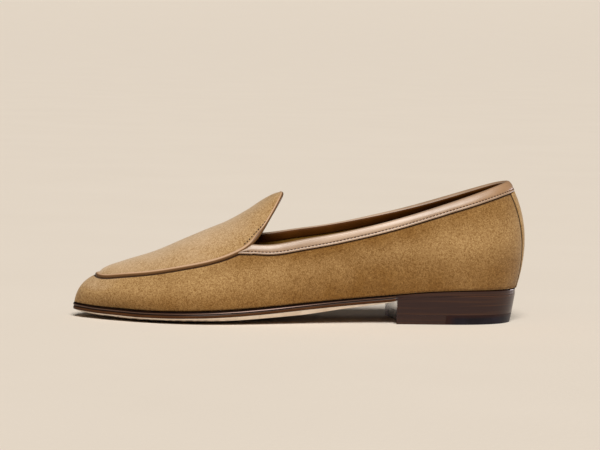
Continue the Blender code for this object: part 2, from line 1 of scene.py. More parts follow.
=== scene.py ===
"""Suede loafer, left shoe: the finish of every piece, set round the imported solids.

The toe points to -X and the outer side of the foot to -Y. The tables are in millimetres, as a
pattern maker writes them: a station is counted forward from the back of the heel, a height up
from the floor, and a width out from the straight line through heel and ball.
"""

import json
from collections import namedtuple
from functools import cache

import bmesh
import bpy
import numpy as np
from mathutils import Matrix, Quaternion, Vector

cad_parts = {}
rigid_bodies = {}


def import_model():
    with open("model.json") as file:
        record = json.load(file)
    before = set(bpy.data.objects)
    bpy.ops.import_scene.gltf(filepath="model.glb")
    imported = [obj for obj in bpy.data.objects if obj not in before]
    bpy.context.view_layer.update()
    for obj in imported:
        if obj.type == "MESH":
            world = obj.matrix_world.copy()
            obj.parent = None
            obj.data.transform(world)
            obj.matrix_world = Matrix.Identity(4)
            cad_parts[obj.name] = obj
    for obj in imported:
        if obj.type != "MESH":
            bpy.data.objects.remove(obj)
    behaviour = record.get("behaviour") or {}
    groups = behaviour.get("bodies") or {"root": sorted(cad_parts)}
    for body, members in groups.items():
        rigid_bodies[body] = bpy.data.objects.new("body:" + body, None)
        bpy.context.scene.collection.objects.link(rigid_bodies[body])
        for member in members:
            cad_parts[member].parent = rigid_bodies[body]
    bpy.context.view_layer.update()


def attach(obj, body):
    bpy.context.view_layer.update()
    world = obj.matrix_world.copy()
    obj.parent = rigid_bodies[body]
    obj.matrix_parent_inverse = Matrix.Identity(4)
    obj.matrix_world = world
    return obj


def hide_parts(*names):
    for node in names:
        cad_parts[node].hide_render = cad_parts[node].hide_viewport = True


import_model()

bl_info = {
    "name": "Suede Loafer",
    "version": (1, 0, 0),
    "blender": (4, 5, 0),
    "location": "3D View > Sidebar > Loafer",
    "description": "Makes a tan suede loafer with a piped apron and a bound collar",
    "category": "Object",
}

MM = 0.001
SAME_PLACE = 2e-6  # metres
BODY = "root"
OUTER, INNER = -1, 1
SIDES = (OUTER, INNER)
GAP = 0.3  # between pieces that meet
WALL = 2.0  # suede and lining together
THROAT_FOOT = 160.0  # station on the feather line below the corners of the throat
HEEL_BREAST = 79.0  # station of the front of the heel
RUBBER_FRONT = 49.0  # station where the rubber of the top piece begins

# How finely the surfaces are laid out
FOREPART_RIBS = 96
QUARTER_RIBS = 120
WALL_ROWS = 30
SEAM_ROWS = 24  # close rows in the band below the upper edge
SEAM_BAND = 7.5
APRON_COLUMNS = 72
SOLE_ROWS = 160
SOLE_COLUMNS = 14
HEEL_ROWS = 60
TONGUE_STEPS = 120

# The feather line, where the upper meets the sole, seen from above
Tip = namedtuple("Tip", "station offset")
Width = namedtuple("Width", "station outer inner")
FEATHER_TIP = Tip(266.6, 2.6)
FEATHER_BACK = Tip(4.2, 0.0)
FEATHER = (
    Width(264.4, 2.6, 7.4),
    Width(259.8, 7.5, 12.1),
    Width(250.4, 15.3, 19.5),
    Width(236.0, 25.0, 27.8),
    Width(218.0, 33.6, 34.4),
    Width(198.0, 38.4, 37.4),
    Width(178.0, 38.2, 35.4),
    Width(158.0, 35.2, 30.8),
    Width(136.0, 31.0, 26.2),
    Width(108.0, 27.0, 23.6),
    Width(78.0, 25.8, 24.8),
    Width(48.0, 26.2, 26.0),
    Width(26.0, 23.4, 23.4),
    Width(12.0, 15.6, 15.6),
    Width(6.0, 7.6, 7.6),
)

# The edge of the apron, from its point at the toe to the corners of the throat. The inner side
# stands higher than the outer by its rise
Edge = namedtuple("Edge", "station outer inner height inner_rise")
APRON_TIP = Edge(253.4, -2.4, 2.4, 25.1, 0.0)
APRON = (
    Edge(252.2, 4.0, 8.6, 24.6, 0.0),
    Edge(248.5, 9.2, 13.0, 24.6, 0.0),
    Edge(240.2, 15.6, 18.2, 26.0, 0.0),
    Edge(223.3, 22.6, 23.6, 28.4, 0.0),
    Edge(206.0, 26.0, 25.8, 31.7, 0.2),
    Edge(194.2, 27.0, 26.4, 34.2, 0.6),
    Edge(182.3, 27.4, 26.4, 37.6, 1.2),
    Edge(174.0, 27.2, 26.2, 41.0, 1.9),
    Edge(165.5, 26.6, 25.6, 45.2, 2.6),
)

# The topline, from the corners of the throat to the back of the heel
TOPLINE = (
    Edge(155.0, 27.2, 26.2, 45.1, 2.6),
    Edge(137.0, 27.4, 26.4, 48.2, 1.9),
    Edge(119.0, 27.0, 26.0, 51.4, 1.4),
    Edge(101.0, 26.2, 25.4, 55.3, 1.1),
    Edge(87.0, 25.2, 24.6, 58.9, 0.9),
    Edge(75.0, 24.0, 23.6, 62.3, 0.6),
    Edge(55.0, 21.8, 21.6, 68.6, 0.1),
    Edge(38.8, 19.0, 19.0, 73.9, 0.0),
    Edge(26.0, 15.2, 15.2, 78.2, 0.0),
    Edge(15.6, 9.6, 9.6, 81.6, 0.0),
    Edge(12.1, 5.4, 5.4, 82.6, 0.0),
)
TOPLINE_BACK = Edge(10.8, 0.0, 0.0, 83.0, 0.0)

# The ridge of the instep, from the apron's point to the top of the tongue
Crest = namedtuple("Crest", "station height")
CREST = (
    Crest(253.4, 25.1),
    Crest(249.6, 28.6),
    Crest(237.7, 33.2),
    Crest(219.9, 39.0),
    Crest(202.1, 46.9),
    Crest(190.1, 52.2),
    Crest(178.3, 57.2),
    Crest(166.4, 63.9),
    Crest(154.5, 71.8),
    Crest(149.0, 74.5),
    Crest(144.8, 75.4),
)
TONGUE_LEAN = 19.2  # how far behind the apron's corners the top of the tongue lies
TONGUE_LEAN_POWER = 1.6
APRON_ARCH = 2.1  # 2 is a parabola, more is a fuller arch across the instep

# How the wall swells between the feather line and its upper edge. A greater fall puts the
# fullest place lower
Swell = namedtuple("Swell", "station outer inner fall")
SWELL = (
    Swell(4.2, 6.8, 6.8, 0.9),
    Swell(40.0, 5.2, 5.2, 0.9),
    Swell(78.0, 3.4, 3.0, 1.0),
    Swell(110.0, 2.4, 1.4, 1.1),
    Swell(140.0, 2.4, 1.6, 1.2),
    Swell(165.0, 3.2, 2.8, 1.3),
    Swell(198.0, 3.8, 3.8, 1.4),
    Swell(236.0, 4.1, 4.1, 1.3),
    Swell(266.6, 3.1, 3.1, 1.0),
)

# The sole along its length: rim and tread give the arch and the toe spring, dish the hollow
# under the ball, margin the ledge outside the upper, edge the height of the dressed edge, bevel
# the drop of the slant under it and bevel_run how far that runs in
Sole = namedtuple("Sole", "station rim tread dish margin edge bevel bevel_run")
SOLE = (
    Sole(4.2, 20.6, 16.9, 0.0, -0.4, 3.3, 0.0, 0.3),
    Sole(30.0, 20.5, 17.1, 0.0, -0.4, 3.0, 0.0, 0.3),
    Sole(54.6, 19.7, 16.5, 0.0, -0.4, 2.8, 0.0, 0.3),
    Sole(79.0, 17.7, 13.9, 0.0, -0.2, 3.4, 0.0, 0.3),
    Sole(82.0, 17.4, 12.9, 0.1, -0.1, 3.8, 0.3, 0.6),
    Sole(111.4, 14.8, 7.8, 0.5, 0.3, 3.8, 1.9, 2.2),
    Sole(135.5, 12.5, 4.4, 0.9, 0.8, 3.8, 3.0, 3.4),
    Sole(156.4, 10.5, 2.4, 1.3, 1.2, 3.8, 2.6, 3.4),
    Sole(174.9, 9.1, 1.1, 1.6, 1.5, 3.8, 2.4, 3.2),
    Sole(196.0, 8.0, 0.0, 1.6, 1.6, 3.8, 1.7, 3.0),
    Sole(228.0, 7.2, 0.0, 1.4, 1.6, 3.8, 1.3, 2.8),
    Sole(242.7, 7.5, 0.8, 1.0, 1.5, 3.8, 1.2, 2.6),
    Sole(253.6, 7.7, 1.9, 0.6, 1.2, 3.8, 1.0, 2.2),
    Sole(266.6, 8.5, 3.9, 0.0, 0.6, 3.8, 0.5, 1.6),
)

SOLE_EDGE = 3.8  # height of the dressed edge in front of the heel
FLAT_SHARE = 0.4  # share of the tread's half width that is flat before it rounds up

# The dressed edge from the top down: a bead, a groove cut by the edge iron, a plain face. The
# tone is -1 for painted shadow on the ledge under the suede and where the groove is darker, and 1
# for the painted highlight on the bead, and the coat is the finish of the edge down to this step
Step = namedtuple("Step", "out drop tone coat")
SOLE_STEPS = (
    Step(-1.3, 0.0, -1.0, "inked_ledge"),
    Step(-0.55, 0.02, -1.0, "inked_ledge"),
    Step(-0.25, 0.2, -1.0, "inked_ledge"),
    Step(-0.08, 0.5, -1.0, "inked_ledge"),
    Step(-0.02, 0.8, -0.7, "inked_edge"),
    Step(0.0, 1.02, 1.0, "rubbed_bead"),
    Step(-0.04, 1.28, 1.0, "rubbed_bead"),
    Step(-0.22, 1.5, -0.8, "rubbed_bead"),
    Step(-0.42, 1.78, -1.0, "inked_edge"),
    Step(-0.42, 1.92, -1.0, "inked_edge"),
    Step(-0.24, 2.1, -0.6, "inked_edge"),
    Step(-0.1, 2.32, -0.1, "inked_edge"),
    Step(-0.04, 2.8, 0.0, "inked_edge"),
    Step(-0.06, 3.3, 0.0, "inked_edge"),
    Step(-0.14, 3.62, -0.2, "inked_edge"),
    Step(-0.28, SOLE_EDGE, -0.5, "inked_edge"),
)
BEVEL_SHARES = (0.12, 0.4, 0.7, 1.0)
BEVEL_TONES = (0.0, 0.0, -0.5, -1.0)  # painted shadow towards the floor
PAINTED_SHADOW_FROM, PAINTED_SHADOW_FULL = 165.0, 205.0  # stations over which that comes in

# Height of the binding's outer leaf: it tapers away under the piping in front of the throat
Leaf = namedtuple("Leaf", "station height")
BINDING_LEAF = (
    Leaf(10.8, 5.5),
    Leaf(30.0, 5.7),
    Leaf(50.0, 5.3),
    Leaf(80.0, 4.9),
    Leaf(108.0, 4.7),
    Leaf(137.0, 5.2),
    Leaf(165.5, 5.2),
    Leaf(168.0, 4.0),
    Leaf(170.5, 2.6),
    Leaf(173.0, 1.3),
    Leaf(174.6, 0.6),
)
BINDING_FRONT = 0.905  # reach at which the binding ends, under the piping

# Soft troughs and ridges of the wall, placed by reach and rise as on the last
Crease = namedtuple("Crease", "side reach rise length width turn depth")
CREASES = (
    Crease(OUTER, 1.44, 0.40, 20.0, 7.0, -8.0, 0.70),
    Crease(OUTER, 1.40, 0.72, 26.0, 6.0, -10.0, -0.30),
    Crease(OUTER, 1.22, 0.42, 16.0, 6.0, 24.0, 0.25),
    Crease(OUTER, 1.72, 0.55, 18.0, 9.0, -14.0, -0.30),
    Crease(OUTER, 1.88, 0.22, 12.0, 6.0, 10.0, 0.40),
    Crease(OUTER, 0.34, 0.66, 14.0, 3.6, -8.0, 0.40),
    Crease(OUTER, 0.62, 0.45, 12.0, 5.0, 35.0, 0.22),
    Crease(OUTER, 0.86, 0.40, 14.0, 5.0, 50.0, 0.25),
    Crease(INNER, 1.42, 0.42, 22.0, 7.0, -8.0, 0.80),
    Crease(INNER, 1.38, 0.74, 24.0, 6.0, -10.0, -0.30),
    Crease(INNER, 1.74, 0.52, 18.0, 9.0, -14.0, -0.30),
    Crease(INNER, 0.36, 0.64, 14.0, 3.6, -8.0, 0.40),
    Crease(INNER, 0.66, 0.45, 12.0, 5.0, 35.0, 0.25),
    Crease(INNER, 0.88, 0.40, 14.0, 5.0, 50.0, 0.25),
)


def length_of(name, text, default):
    return bpy.props.FloatProperty(
        name=name, description=text, default=default, unit="LENGTH", precision=5
    )


def colour_of(name, text, default):
    return bpy.props.FloatVectorProperty(
        name=name, description=text, default=default, size=3, subtype="COLOR", min=0, soft_max=1
    )


def angle_of(name, text, degrees):
    return bpy.props.FloatProperty(
        name=name, description=text, default=np.radians(degrees), subtype="ANGLE"
    )


def amount_of(name, text, default, unit="NONE"):
    return bpy.props.FloatProperty(name=name, description=text, default=default, unit=unit)


class LoaferSizes(bpy.types.PropertyGroup):
    """Sizes of the pieces that a maker would change."""

    suede: length_of("Suede", "Thickness of the suede", 0.0012)
    lining: length_of("Lining", "Thickness of the lining under the suede", 0.0007)
    piping_width: length_of("Piping width", "Width of the cord in the apron's seam", 0.0026)
    piping_rise: length_of("Piping rise", "How far the cord stands proud", 0.0012)
    binding: length_of("Binding", "Thickness of the collar's binding", 0.0009)
    binding_inside: length_of("Binding inside", "Depth that the binding turns in", 0.004)
    channel_height: length_of("Channel height", "Stitch row above the binding's edge", 0.0013)
    channel_depth: length_of("Channel depth", "Depth of the binding's stitch channel", 0.00028)
    collar_stitch: length_of("Collar stitch", "Spacing of the stitches of the binding", 0.0021)
    tongue_stitch: length_of("Tongue stitch", "Spacing of the tongue's stitches", 0.0019)
    tongue_inset: length_of("Tongue inset", "Stitches in from the tongue's rim", 0.00245)
    thread: length_of("Thread", "Thickness of the sewing thread", 0.00075)
    strip: length_of("Back strip", "Thickness of the strip over the back seam", 0.0008)
    strip_low: length_of("Strip low", "Half width of the back strip by the sole", 0.006)
    strip_high: length_of("Strip high", "Half width of the back strip by the collar", 0.0085)
    insole: length_of("Insole", "Thickness of the covered insole", 0.002)
    top_piece: length_of("Top piece", "Thickness of the heel's walking face", 0.0055)


class LoaferColours(bpy.types.PropertyGroup):
    """Colours of the leathers, threads and rubber."""

    suede: colour_of("Suede", "Raised fibres of the nap", (0.52, 0.334, 0.146))
    suede_dark: colour_of("Suede dark", "Hollows between the fibres", (0.222, 0.109, 0.03))
    # Multiplies in the painted light on the apron and at the toe, with the brush marks
    suede_light: colour_of("Suede light", "Tint of the apron's nap", (1.7, 2.1, 3.5))
    # Multiplies in the painted shade low on the wall, high up behind the toe, at the waist and in
    # the troughs, with the brush marks
    suede_low: colour_of("Suede low", "Tint of the wall by the sole", (0.52, 0.40, 0.205))
    # Painted shadow beside the seams and where the suede meets the sole
    seam: colour_of("Seam", "Shaded ground of a seam", (0.035, 0.014, 0.005))
    smooth: colour_of("Smooth leather", "Binding of the collar", (0.33, 0.216, 0.138))
    # Light end of the binding's uneven dye, and its painted highlight
    smooth_light: colour_of("Smooth light", "Rubbed ridges of it", (0.62, 0.457, 0.335))
    cord: colour_of("Cord", "Piping of the apron", (0.46, 0.27, 0.135))
    # Painted shade on the piping's lower side
    cord_shade: colour_of("Cord shade", "Lower side of the piping", (0.13, 0.06, 0.02))
    # Light end of the cord's uneven dye, and the painted highlight on its crown
    cord_light: colour_of("Cord light", "Rubbed crown of it", (0.56, 0.375, 0.245))
    # Darker in the stitch channel, and painted shade on the binding towards the heel's back
    channel: colour_of("Channel", "Stitch channel and aged binding", (0.36, 0.2, 0.095))
    lining: colour_of("Lining", "Lining leather", (0.25, 0.13, 0.025))
    # Dark as painted shade inside the collar
    turned_in: colour_of("Turned in", "Inner leaf of the binding", (0.1, 0.031, 0.003))
    insole: colour_of("Insole", "Sock over the insole", (0.33, 0.19, 0.085))
    sole_edge: colour_of("Sole edge", "Inked and polished edge", (0.055, 0.02, 0.007))
    sole_edge_warm: colour_of("Sole edge warm", "Thin places of the ink", (0.095, 0.037, 0.012))
    # Ink of the grooves, and painted shadow on the ledge and the bevel
    sole_ink: colour_of("Sole ink", "Grooves full of ink", (0.007, 0.0035, 0.0025))
    # Painted highlight on the bead
    sole_bead: colour_of("Sole bead", "Bead rubbed bright", (0.72, 0.53, 0.5))
    sole_bevel: colour_of("Sole bevel", "Bare cut leather under the edge", (0.95, 0.85, 0.75))
    tread: colour_of("Tread", "Walking face of the sole", (0.36, 0.235, 0.13))
    heel: colour_of("Heel", "Stacked and stained leather", (0.0245, 0.0082, 0.0068))
    heel_warm: colour_of("Heel warm", "Edges of the lifts", (0.055, 0.02, 0.009))
    # Painted reflection on the polished front of the heel
    breast: colour_of("Breast", "Polished front of the heel", (0.38, 0.3, 0.4))
    rubber: colour_of("Rubber", "Rear of the top piece", (0.007, 0.0052, 0.0085))
    thread: colour_of("Thread", "Waxed sewing thread", (0.045, 0.018, 0.006))
    floor: colour_of("Floor", "Studio floor", (0.80, 0.722, 0.628))


class LoaferStudio(bpy.types.PropertyGroup):
    """Where the camera stands, and the strength of the lights."""

    azimuth: angle_of("Azimuth", "Of the camera, with the toe's side negative", -6.4)
    elevation: angle_of("Elevation", "Of the camera above the floor", 5.0)
    roll: angle_of("Roll", "Lifts the toe end in the picture", 1.3)
    distance: length_of("Distance", "From the camera to the shoe", 1.6)
    stand: length_of("Stand", "Height of the point that the camera turns about", 0.04)
    aim_along: length_of("Aim along", "Where the middle of the picture falls", -0.0009)
    aim_height: length_of("Aim height", "Height of the middle of the picture", 0.0557)
    focal: amount_of("Focal length", "On a full frame, in millimetres", 162.4, "CAMERA")
    key: amount_of("Key light", "Strength of the wide overhead light", 3.58)
    key_colour: colour_of("Key colour", "Tint of the overhead light", (1.0, 0.97, 0.93))
    spread: angle_of("Spread", "Width of the overhead light", 28.0)
    lean: angle_of("Lean", "How far the overhead light leans to the camera", 36.0)
    turn: angle_of("Turn", "How far the overhead light leans to the toe", -3.0)
    rim: amount_of("Rim light", "Gloss light behind the heel, in watts", 2.3, "POWER")
    rim_colour: colour_of("Rim colour", "Tint of the gloss light", (1.0, 0.88, 0.95))
    room: amount_of("Room", "Strength of the studio's even light", 0.08)
    room_colour: colour_of("Room colour", "Tint of the even light", (1.0, 0.95, 0.89))


def mm(name):
    """A size of the settings in the tables' millimetres."""
    return getattr(bpy.context.scene.loafer_sizes, name) / MM


def colour(name, *shares):
    """A colour of the settings, with its red, green and blue scaled where shares are given."""
    channels = getattr(bpy.context.scene.loafer_colours, name)
    return (*(each * share for each, share in zip(channels, shares or (1, 1, 1))), 1.0)


# The form of the last


def along(table, column, at):
    """A column of a table read at stations, smooth and with no overshoot between its rows."""
    knots = np.array([row.station for row in table])
    values = np.array([getattr(row, column) for row in table])
    order = np.argsort(knots)
    knots, values = knots[order], values[order]
    at = np.clip(at, knots[0], knots[-1])
    gaps = np.diff(knots)
    slopes = np.diff(values) / gaps
    before, after = slopes[:-1], slopes[1:]
    same_way = before * after > 0
    heavy, light = 2 * gaps[1:] + gaps[:-1], gaps[1:] + 2 * gaps[:-1]
    share = heavy * np.where(same_way, after, 1) + light * np.where(same_way, before, 1)
    tangents = np.zeros(len(knots))
    tangents[1:-1] = np.where(same_way, (heavy + light) * before * after / share, 0)
    tangents[0], tangents[-1] = slopes[0], slopes[-1]
    i = np.clip(np.searchsorted(knots, at, side="right") - 1, 0, len(gaps) - 1)
    t = (at - knots[i]) / gaps[i]
    rise = values[i + 1] - values[i]
    start, end = gaps[i] * tangents[i], gaps[i] * tangents[i + 1]
    return values[i] + t * (start + t * (3 * rise - 2 * start - end + t * (start + end - 2 * rise)))


class Curve:
    """The natural cubic curve through a row of points, read at distances along it."""

    def __init__(self, points):
        self.points = np.asarray(points, float)
        steps = np.linalg.norm(np.diff(self.points, axis=0), axis=1)
        self.knots = np.concatenate([[0], np.cumsum(steps)])
        self.gaps = np.diff(self.knots)
        slopes = np.diff(self.points, axis=0) / self.gaps[:, None]
        system = np.eye(len(self.knots))
        target = np.zeros_like(self.points)
        for i in range(1, len(self.gaps)):
            before, after = self.gaps[i - 1], self.gaps[i]
            system[i, i - 1 : i + 2] = before, 2 * (before + after), after
            target[i] = 6 * (slopes[i] - slopes[i - 1])
        self.bend = np.linalg.solve(system, target)

    def at(self, place):
        i = np.clip(np.searchsorted(self.knots, place, side="right") - 1, 0, len(self.gaps) - 1)
        gap = self.gaps[i][:, None]
        passed = (place - self.knots[i])[:, None]
        left = gap - passed
        bent = (self.bend[i] * left**3 + self.bend[i + 1] * passed**3) / (6 * gap)
        start = self.points[i] / gap - self.bend[i] * gap / 6
        end = self.points[i + 1] / gap - self.bend[i + 1] * gap / 6
        return bent + start * left + end * passed


def unit(vectors):
    return vectors / np.linalg.norm(vectors, axis=-1, keepdims=True)


def square_to(run, vectors):
    """Unit vectors turned square to a run, in the plane of the two."""
    run = unit(run)
    return unit(vectors - run * np.sum(vectors * run, axis=-1, keepdims=True))


def ease(value, start, end):
    """Eases from 0 at the start to 1 at the end, and holds there beyond them."""
    share = np.clip((value - start) / (end - start), 0, 1)
    return share * share * (3 - 2 * share)


def bell(distance, width):
    """1 where the distance is nothing, falling away over a width."""
    return np.exp(-((distance / width) ** 2))


def both_sides(rows):
    """Plan points of a table on the outer side and on the inner side."""
    outer = np.array([[row.station, -row.outer] for row in rows])
    inner = np.array([[row.station, row.inner] for row in rows])
    return {OUTER: outer, INNER: inner}


def edge_points(rows):
    """Points of an upper edge on both sides, with the inner side at its greater height."""
    plan = both_sides(rows)
    height = np.array([row.height for row in rows])
    inner_height = height + [row.inner_rise for row in rows]
    return {
        OUTER: np.column_stack([plan[OUTER], height]),
        INNER: np.column_stack([plan[INNER], inner_height]),
    }


class FeatherLine:
    """The closed outline of the last's bottom, read by side and by share from toe to heel."""

    def __init__(self):
        sides = both_sides(FEATHER)
        loop = np.vstack([[FEATHER_TIP], sides[OUTER], [FEATHER_BACK], sides[INNER][::-1]])
        self.curve = Curve(np.vstack([loop, loop, loop, loop[:1]]))
        self.start, self.end = self.curve.knots[[len(loop), 2 * len(loop)]]
        self.back = self.curve.knots[len(loop) + 1 + len(FEATHER)]

    def at(self, side, share, margin=0.0):
        """Plan points moved outwards by a margin, and the outward ways there."""
        step = 0.05
        toe = self.start if side == OUTER else self.end
        place = toe + (self.back - toe) * np.asarray(share, float)
        tangent = unit(self.curve.at(place + step) - self.curve.at(place - step))
        outward = np.stack([-tangent[:, 1], tangent[:, 0]], axis=1)
        margin = np.broadcast_to(margin, place.shape)[:, None]
        return self.curve.at(place) + outward * margin, outward

    def share_at(self, side, station):
        """The share at which one side passes a station behind the ball."""
        shares = np.linspace(0, 1, 400)
        stations = self.at(side, shares)[0][:, 0]
        return np.interp(-station, -stations, shares)


class EdgeLine:
    """The upper edge of the wall on one side: the apron's edge, then the topline."""

    def __init__(self, side):
        seam = edge_points(APRON)
        point = [[APRON_TIP.station, APRON_TIP.inner, APRON_TIP.height]]
        self.apron = Curve(np.vstack([seam[-side][::-1], point, seam[side]]))
        self.point = self.apron.knots[len(APRON)]
        collar = edge_points((APRON[-1],) + TOPLINE)
        back = [[TOPLINE_BACK.station, 0.0, TOPLINE_BACK.height]]
        self.topline = Curve(np.vstack([collar[side], back, collar[-side][::-1]]))
        self.seam = self.apron.knots[-1] - self.point
        self.back = self.topline.knots[1 + len(TOPLINE)]

    def at(self, reach):
        """Reach 0 is the apron's point, 1 the corner of the throat and 2 the heel's back."""
        on_seam = self.apron.at(self.point + self.seam * np.minimum(reach, 1))
        on_collar = self.topline.at(self.back * np.maximum(reach - 1, 0))
        return np.where((reach <= 1)[:, None], on_seam, on_collar)


FEATHER_LINE = FeatherLine()
EDGE_LINE = {side: EdgeLine(side) for side in SIDES}
RIB_AT_THROAT = {side: FEATHER_LINE.share_at(side, THROAT_FOOT) for side in SIDES}


def feather(side, reach):
    """Foot of a rib of the wall, with reach counted as on its upper edge."""
    throat = RIB_AT_THROAT[side]
    share = np.where(reach < 1, throat * reach, throat + (1 - throat) * (reach - 1))
    plan, outward = FEATHER_LINE.at(side, share)
    return np.column_stack([plan, along(SOLE, "rim", plan[:, 0])]), outward


def wall(side, reach, rise):
    """The outside of the wall: rise 0 is the feather line and 1 the apron's edge or topline."""
    reach, rise = np.broadcast_arrays(np.asarray(reach, float), np.asarray(rise, float))
    shape = reach.shape
    reach, rise = reach.ravel(), rise.ravel()
    foot, outward = feather(side, reach)
    top = EDGE_LINE[side].at(reach)
    lift = top - foot
    out = np.column_stack([outward, np.zeros(len(foot))])
    swell_way = square_to(lift, out)
    fall = along(SWELL, "fall", foot[:, 0])
    fullest = 1 / (1 + fall)
    most = fullest * (1 - fullest) ** fall
    swell = along(SWELL, "outer" if side == OUTER else "inner", foot[:, 0])
    swell = swell * rise * np.maximum(1 - rise, 0) ** fall / most
    points = foot + lift * rise[:, None] + swell_way * swell[:, None]
    return points.reshape(shape + (3,))


def apron(reach, across):
    """The apron: across runs from -1 at its outer edge over the instep to 1 at the inner."""
    reach, across = np.broadcast_arrays(np.asarray(reach, float), np.asarray(across, float))
    shape = reach.shape
    reach, across = reach.ravel(), across.ravel()
    outer, inner = EDGE_LINE[OUTER].at(reach), EDGE_LINE[INNER].at(reach)
    base = outer + (inner - outer) * ((1 + across) / 2)[:, None]
    arch = 1 - np.abs(across) ** APRON_ARCH
    crest_station = (outer[:, 0] + inner[:, 0]) / 2 - TONGUE_LEAN * reach**TONGUE_LEAN_POWER
    crest_height = along(CREST, "height", crest_station)
    points = base.copy()
    points[:, 0] += (crest_station - base[:, 0]) * arch
    points[:, 2] += (crest_height - base[:, 2]) * arch
    return points.reshape(shape + (3,))


def wall_normal(side, reach, rise):
    """The outward way, worked out on one side of the throat's corner at a time."""
    step = 0.002
    front = np.asarray(reach) <= 1
    rise = np.clip(rise, step, 1 - step)
    ahead = wall(side, np.minimum(reach + step, np.where(front, 1, 2)), rise)
    behind = wall(side, np.maximum(reach - step, np.where(front, 0, 1)), rise)
    upward = wall(side, reach, rise + step) - wall(side, reach, rise - step)
    return unit(np.cross(ahead - behind, upward) * side)


def apron_normal(reach, across):
    step = 0.004
    reach = np.clip(reach, 5 * step, 1 - step)
    across = np.clip(across, step - 1, 1 - step)
    lengthways = apron(reach - step, across) - apron(reach + step, across)
    crossways = apron(reach, across + step) - apron(reach, across - step)
    return unit(np.cross(lengthways, crossways))


def wall_height(side, reach):
    return np.linalg.norm(wall(side, reach, 1.0) - wall(side, reach, 0.0), axis=-1)


def on_wall(side, reach, below, out):
    """A point at a depth below the wall's upper edge, moved outwards from its surface."""
    reach, below = np.broadcast_arrays(np.asarray(reach, float), np.asarray(below, float))
    rise = 1 - np.maximum(below, 0) / wall_height(side, reach)
    near_top = 0.94
    edge_way = unit(wall(side, reach, 1.0) - wall(side, reach, near_top))
    above = np.maximum(-below, 0)[..., None] * edge_way
    normal = wall_normal(side, reach, np.minimum(rise, near_top))
    return wall(side, reach, rise) + above + normal * np.asarray(out)[..., None]


def relief(side, reach, rise):
    """How far the wall's creases stand out, fading to nothing at its edges."""
    run = np.where(reach < 1, EDGE_LINE[side].seam, EDGE_LINE[side].back)
    height = wall_height(side, reach)
    total = np.zeros_like(reach)
    for crease in CREASES:
        if crease.side != side:
            continue
        ahead = (reach - crease.reach) * run
        up = (rise - crease.rise) * height
        turn = np.radians(crease.turn)
        lengthways = (ahead * np.cos(turn) + up * np.sin(turn)) / crease.length
        crossways = (up * np.cos(turn) - ahead * np.sin(turn)) / crease.width
        total -= crease.depth * np.exp(-(lengthways**2) - crossways**2)
    ends = ease(reach, 0, 0.12) * ease(reach, 2, 1.92)
    return total * ends * ease(rise, 0, 0.14) * ease(rise, 1, 0.8)


def middle_of_sole():
    """The centre of the sole's outline, which stands over the origin."""
    share = np.linspace(0, 1, 200)
    edges = []
    for side in SIDES:
        station = FEATHER_LINE.at(side, share)[0][:, 0]
        edges.append(FEATHER_LINE.at(side, share, along(SOLE, "margin", station))[0])
    low, high = np.concatenate(edges).min(axis=0), np.concatenate(edges).max(axis=0)
    return high[0] / 2, (low[1] + high[1]) / 2


HALF_LENGTH, ASIDE = middle_of_sole()


def placed(points):
    """Pattern millimetres as places in the frame, in metres."""
    points = np.asarray(points, float)
    x = HALF_LENGTH - points[..., 0]
    return np.stack([x, points[..., 1] - ASIDE, points[..., 2]], axis=-1) * MM


# Meshes


def grid_faces(rows, columns, first=0):
    """Quads of a grid whose corners are numbered row by row from first."""
    at = first + np.arange(rows * columns).reshape(rows, columns)
    quads = np.stack([at[:-1, :-1], at[1:, :-1], at[1:, 1:], at[:-1, 1:]], axis=-1)
    return quads.reshape(-1, 4)


def mesh_of(name, points, faces, zones=None, marks=None):
    """A smooth mesh with coincident corners joined; zones number the materials of its faces."""
    mesh = bpy.data.meshes.new(name)
    mesh.from_pydata(placed(points).tolist(), [], [list(face) for face in faces])
    if zones is not None:
        mesh.polygons.foreach_set("material_index", np.asarray(zones, np.int32))
    for mark, values in (marks or {}).items():
        attribute = mesh.attributes.new(mark, "FLOAT", "POINT")
        attribute.data.foreach_set("value", np.asarray(values, np.float32).ravel())
    shape = bmesh.new()
    shape.from_mesh(mesh)
    bmesh.ops.remove_doubles(shape, verts=shape.verts, dist=SAME_PLACE)
    bmesh.ops.dissolve_degenerate(shape, edges=shape.edges, dist=SAME_PLACE / 4)
    bmesh.ops.recalc_face_normals(shape, faces=shape.faces)
    shape.to_mesh(mesh)
    shape.free()
    mesh.shade_smooth()
    return mesh


def made(name, mesh, finishes, stands_for=None):
    """A finished piece that rides on the shoe's one body."""
    piece = bpy.data.objects.new(name, mesh)
    for each in finishes:
        mesh.materials.append(finish(each))
    bpy.context.scene.collection.objects.link(piece)
    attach(piece, BODY)
    if stands_for:
        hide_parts(stands_for)


def settled(mesh, add_modifiers):
    """A plain mesh of what modifiers make of one."""
    bench = bpy.data.objects.new("bench", mesh)
    bpy.context.scene.collection.objects.link(bench)
    add_modifiers(bench)
    graph = bpy.context.evaluated_depsgraph_get()
    result = bpy.data.meshes.new_from_object(bench.evaluated_get(graph))
    bench.modifiers.clear()
    bpy.data.objects.remove(bench)
    return result


def rim_of(grid):
    """The border of a grid of points, once round."""
    rim = [grid[0, :-1], grid[:-1, -1], grid[-1, :0:-1], grid[:0:-1, 0]]
    return np.concatenate(rim)


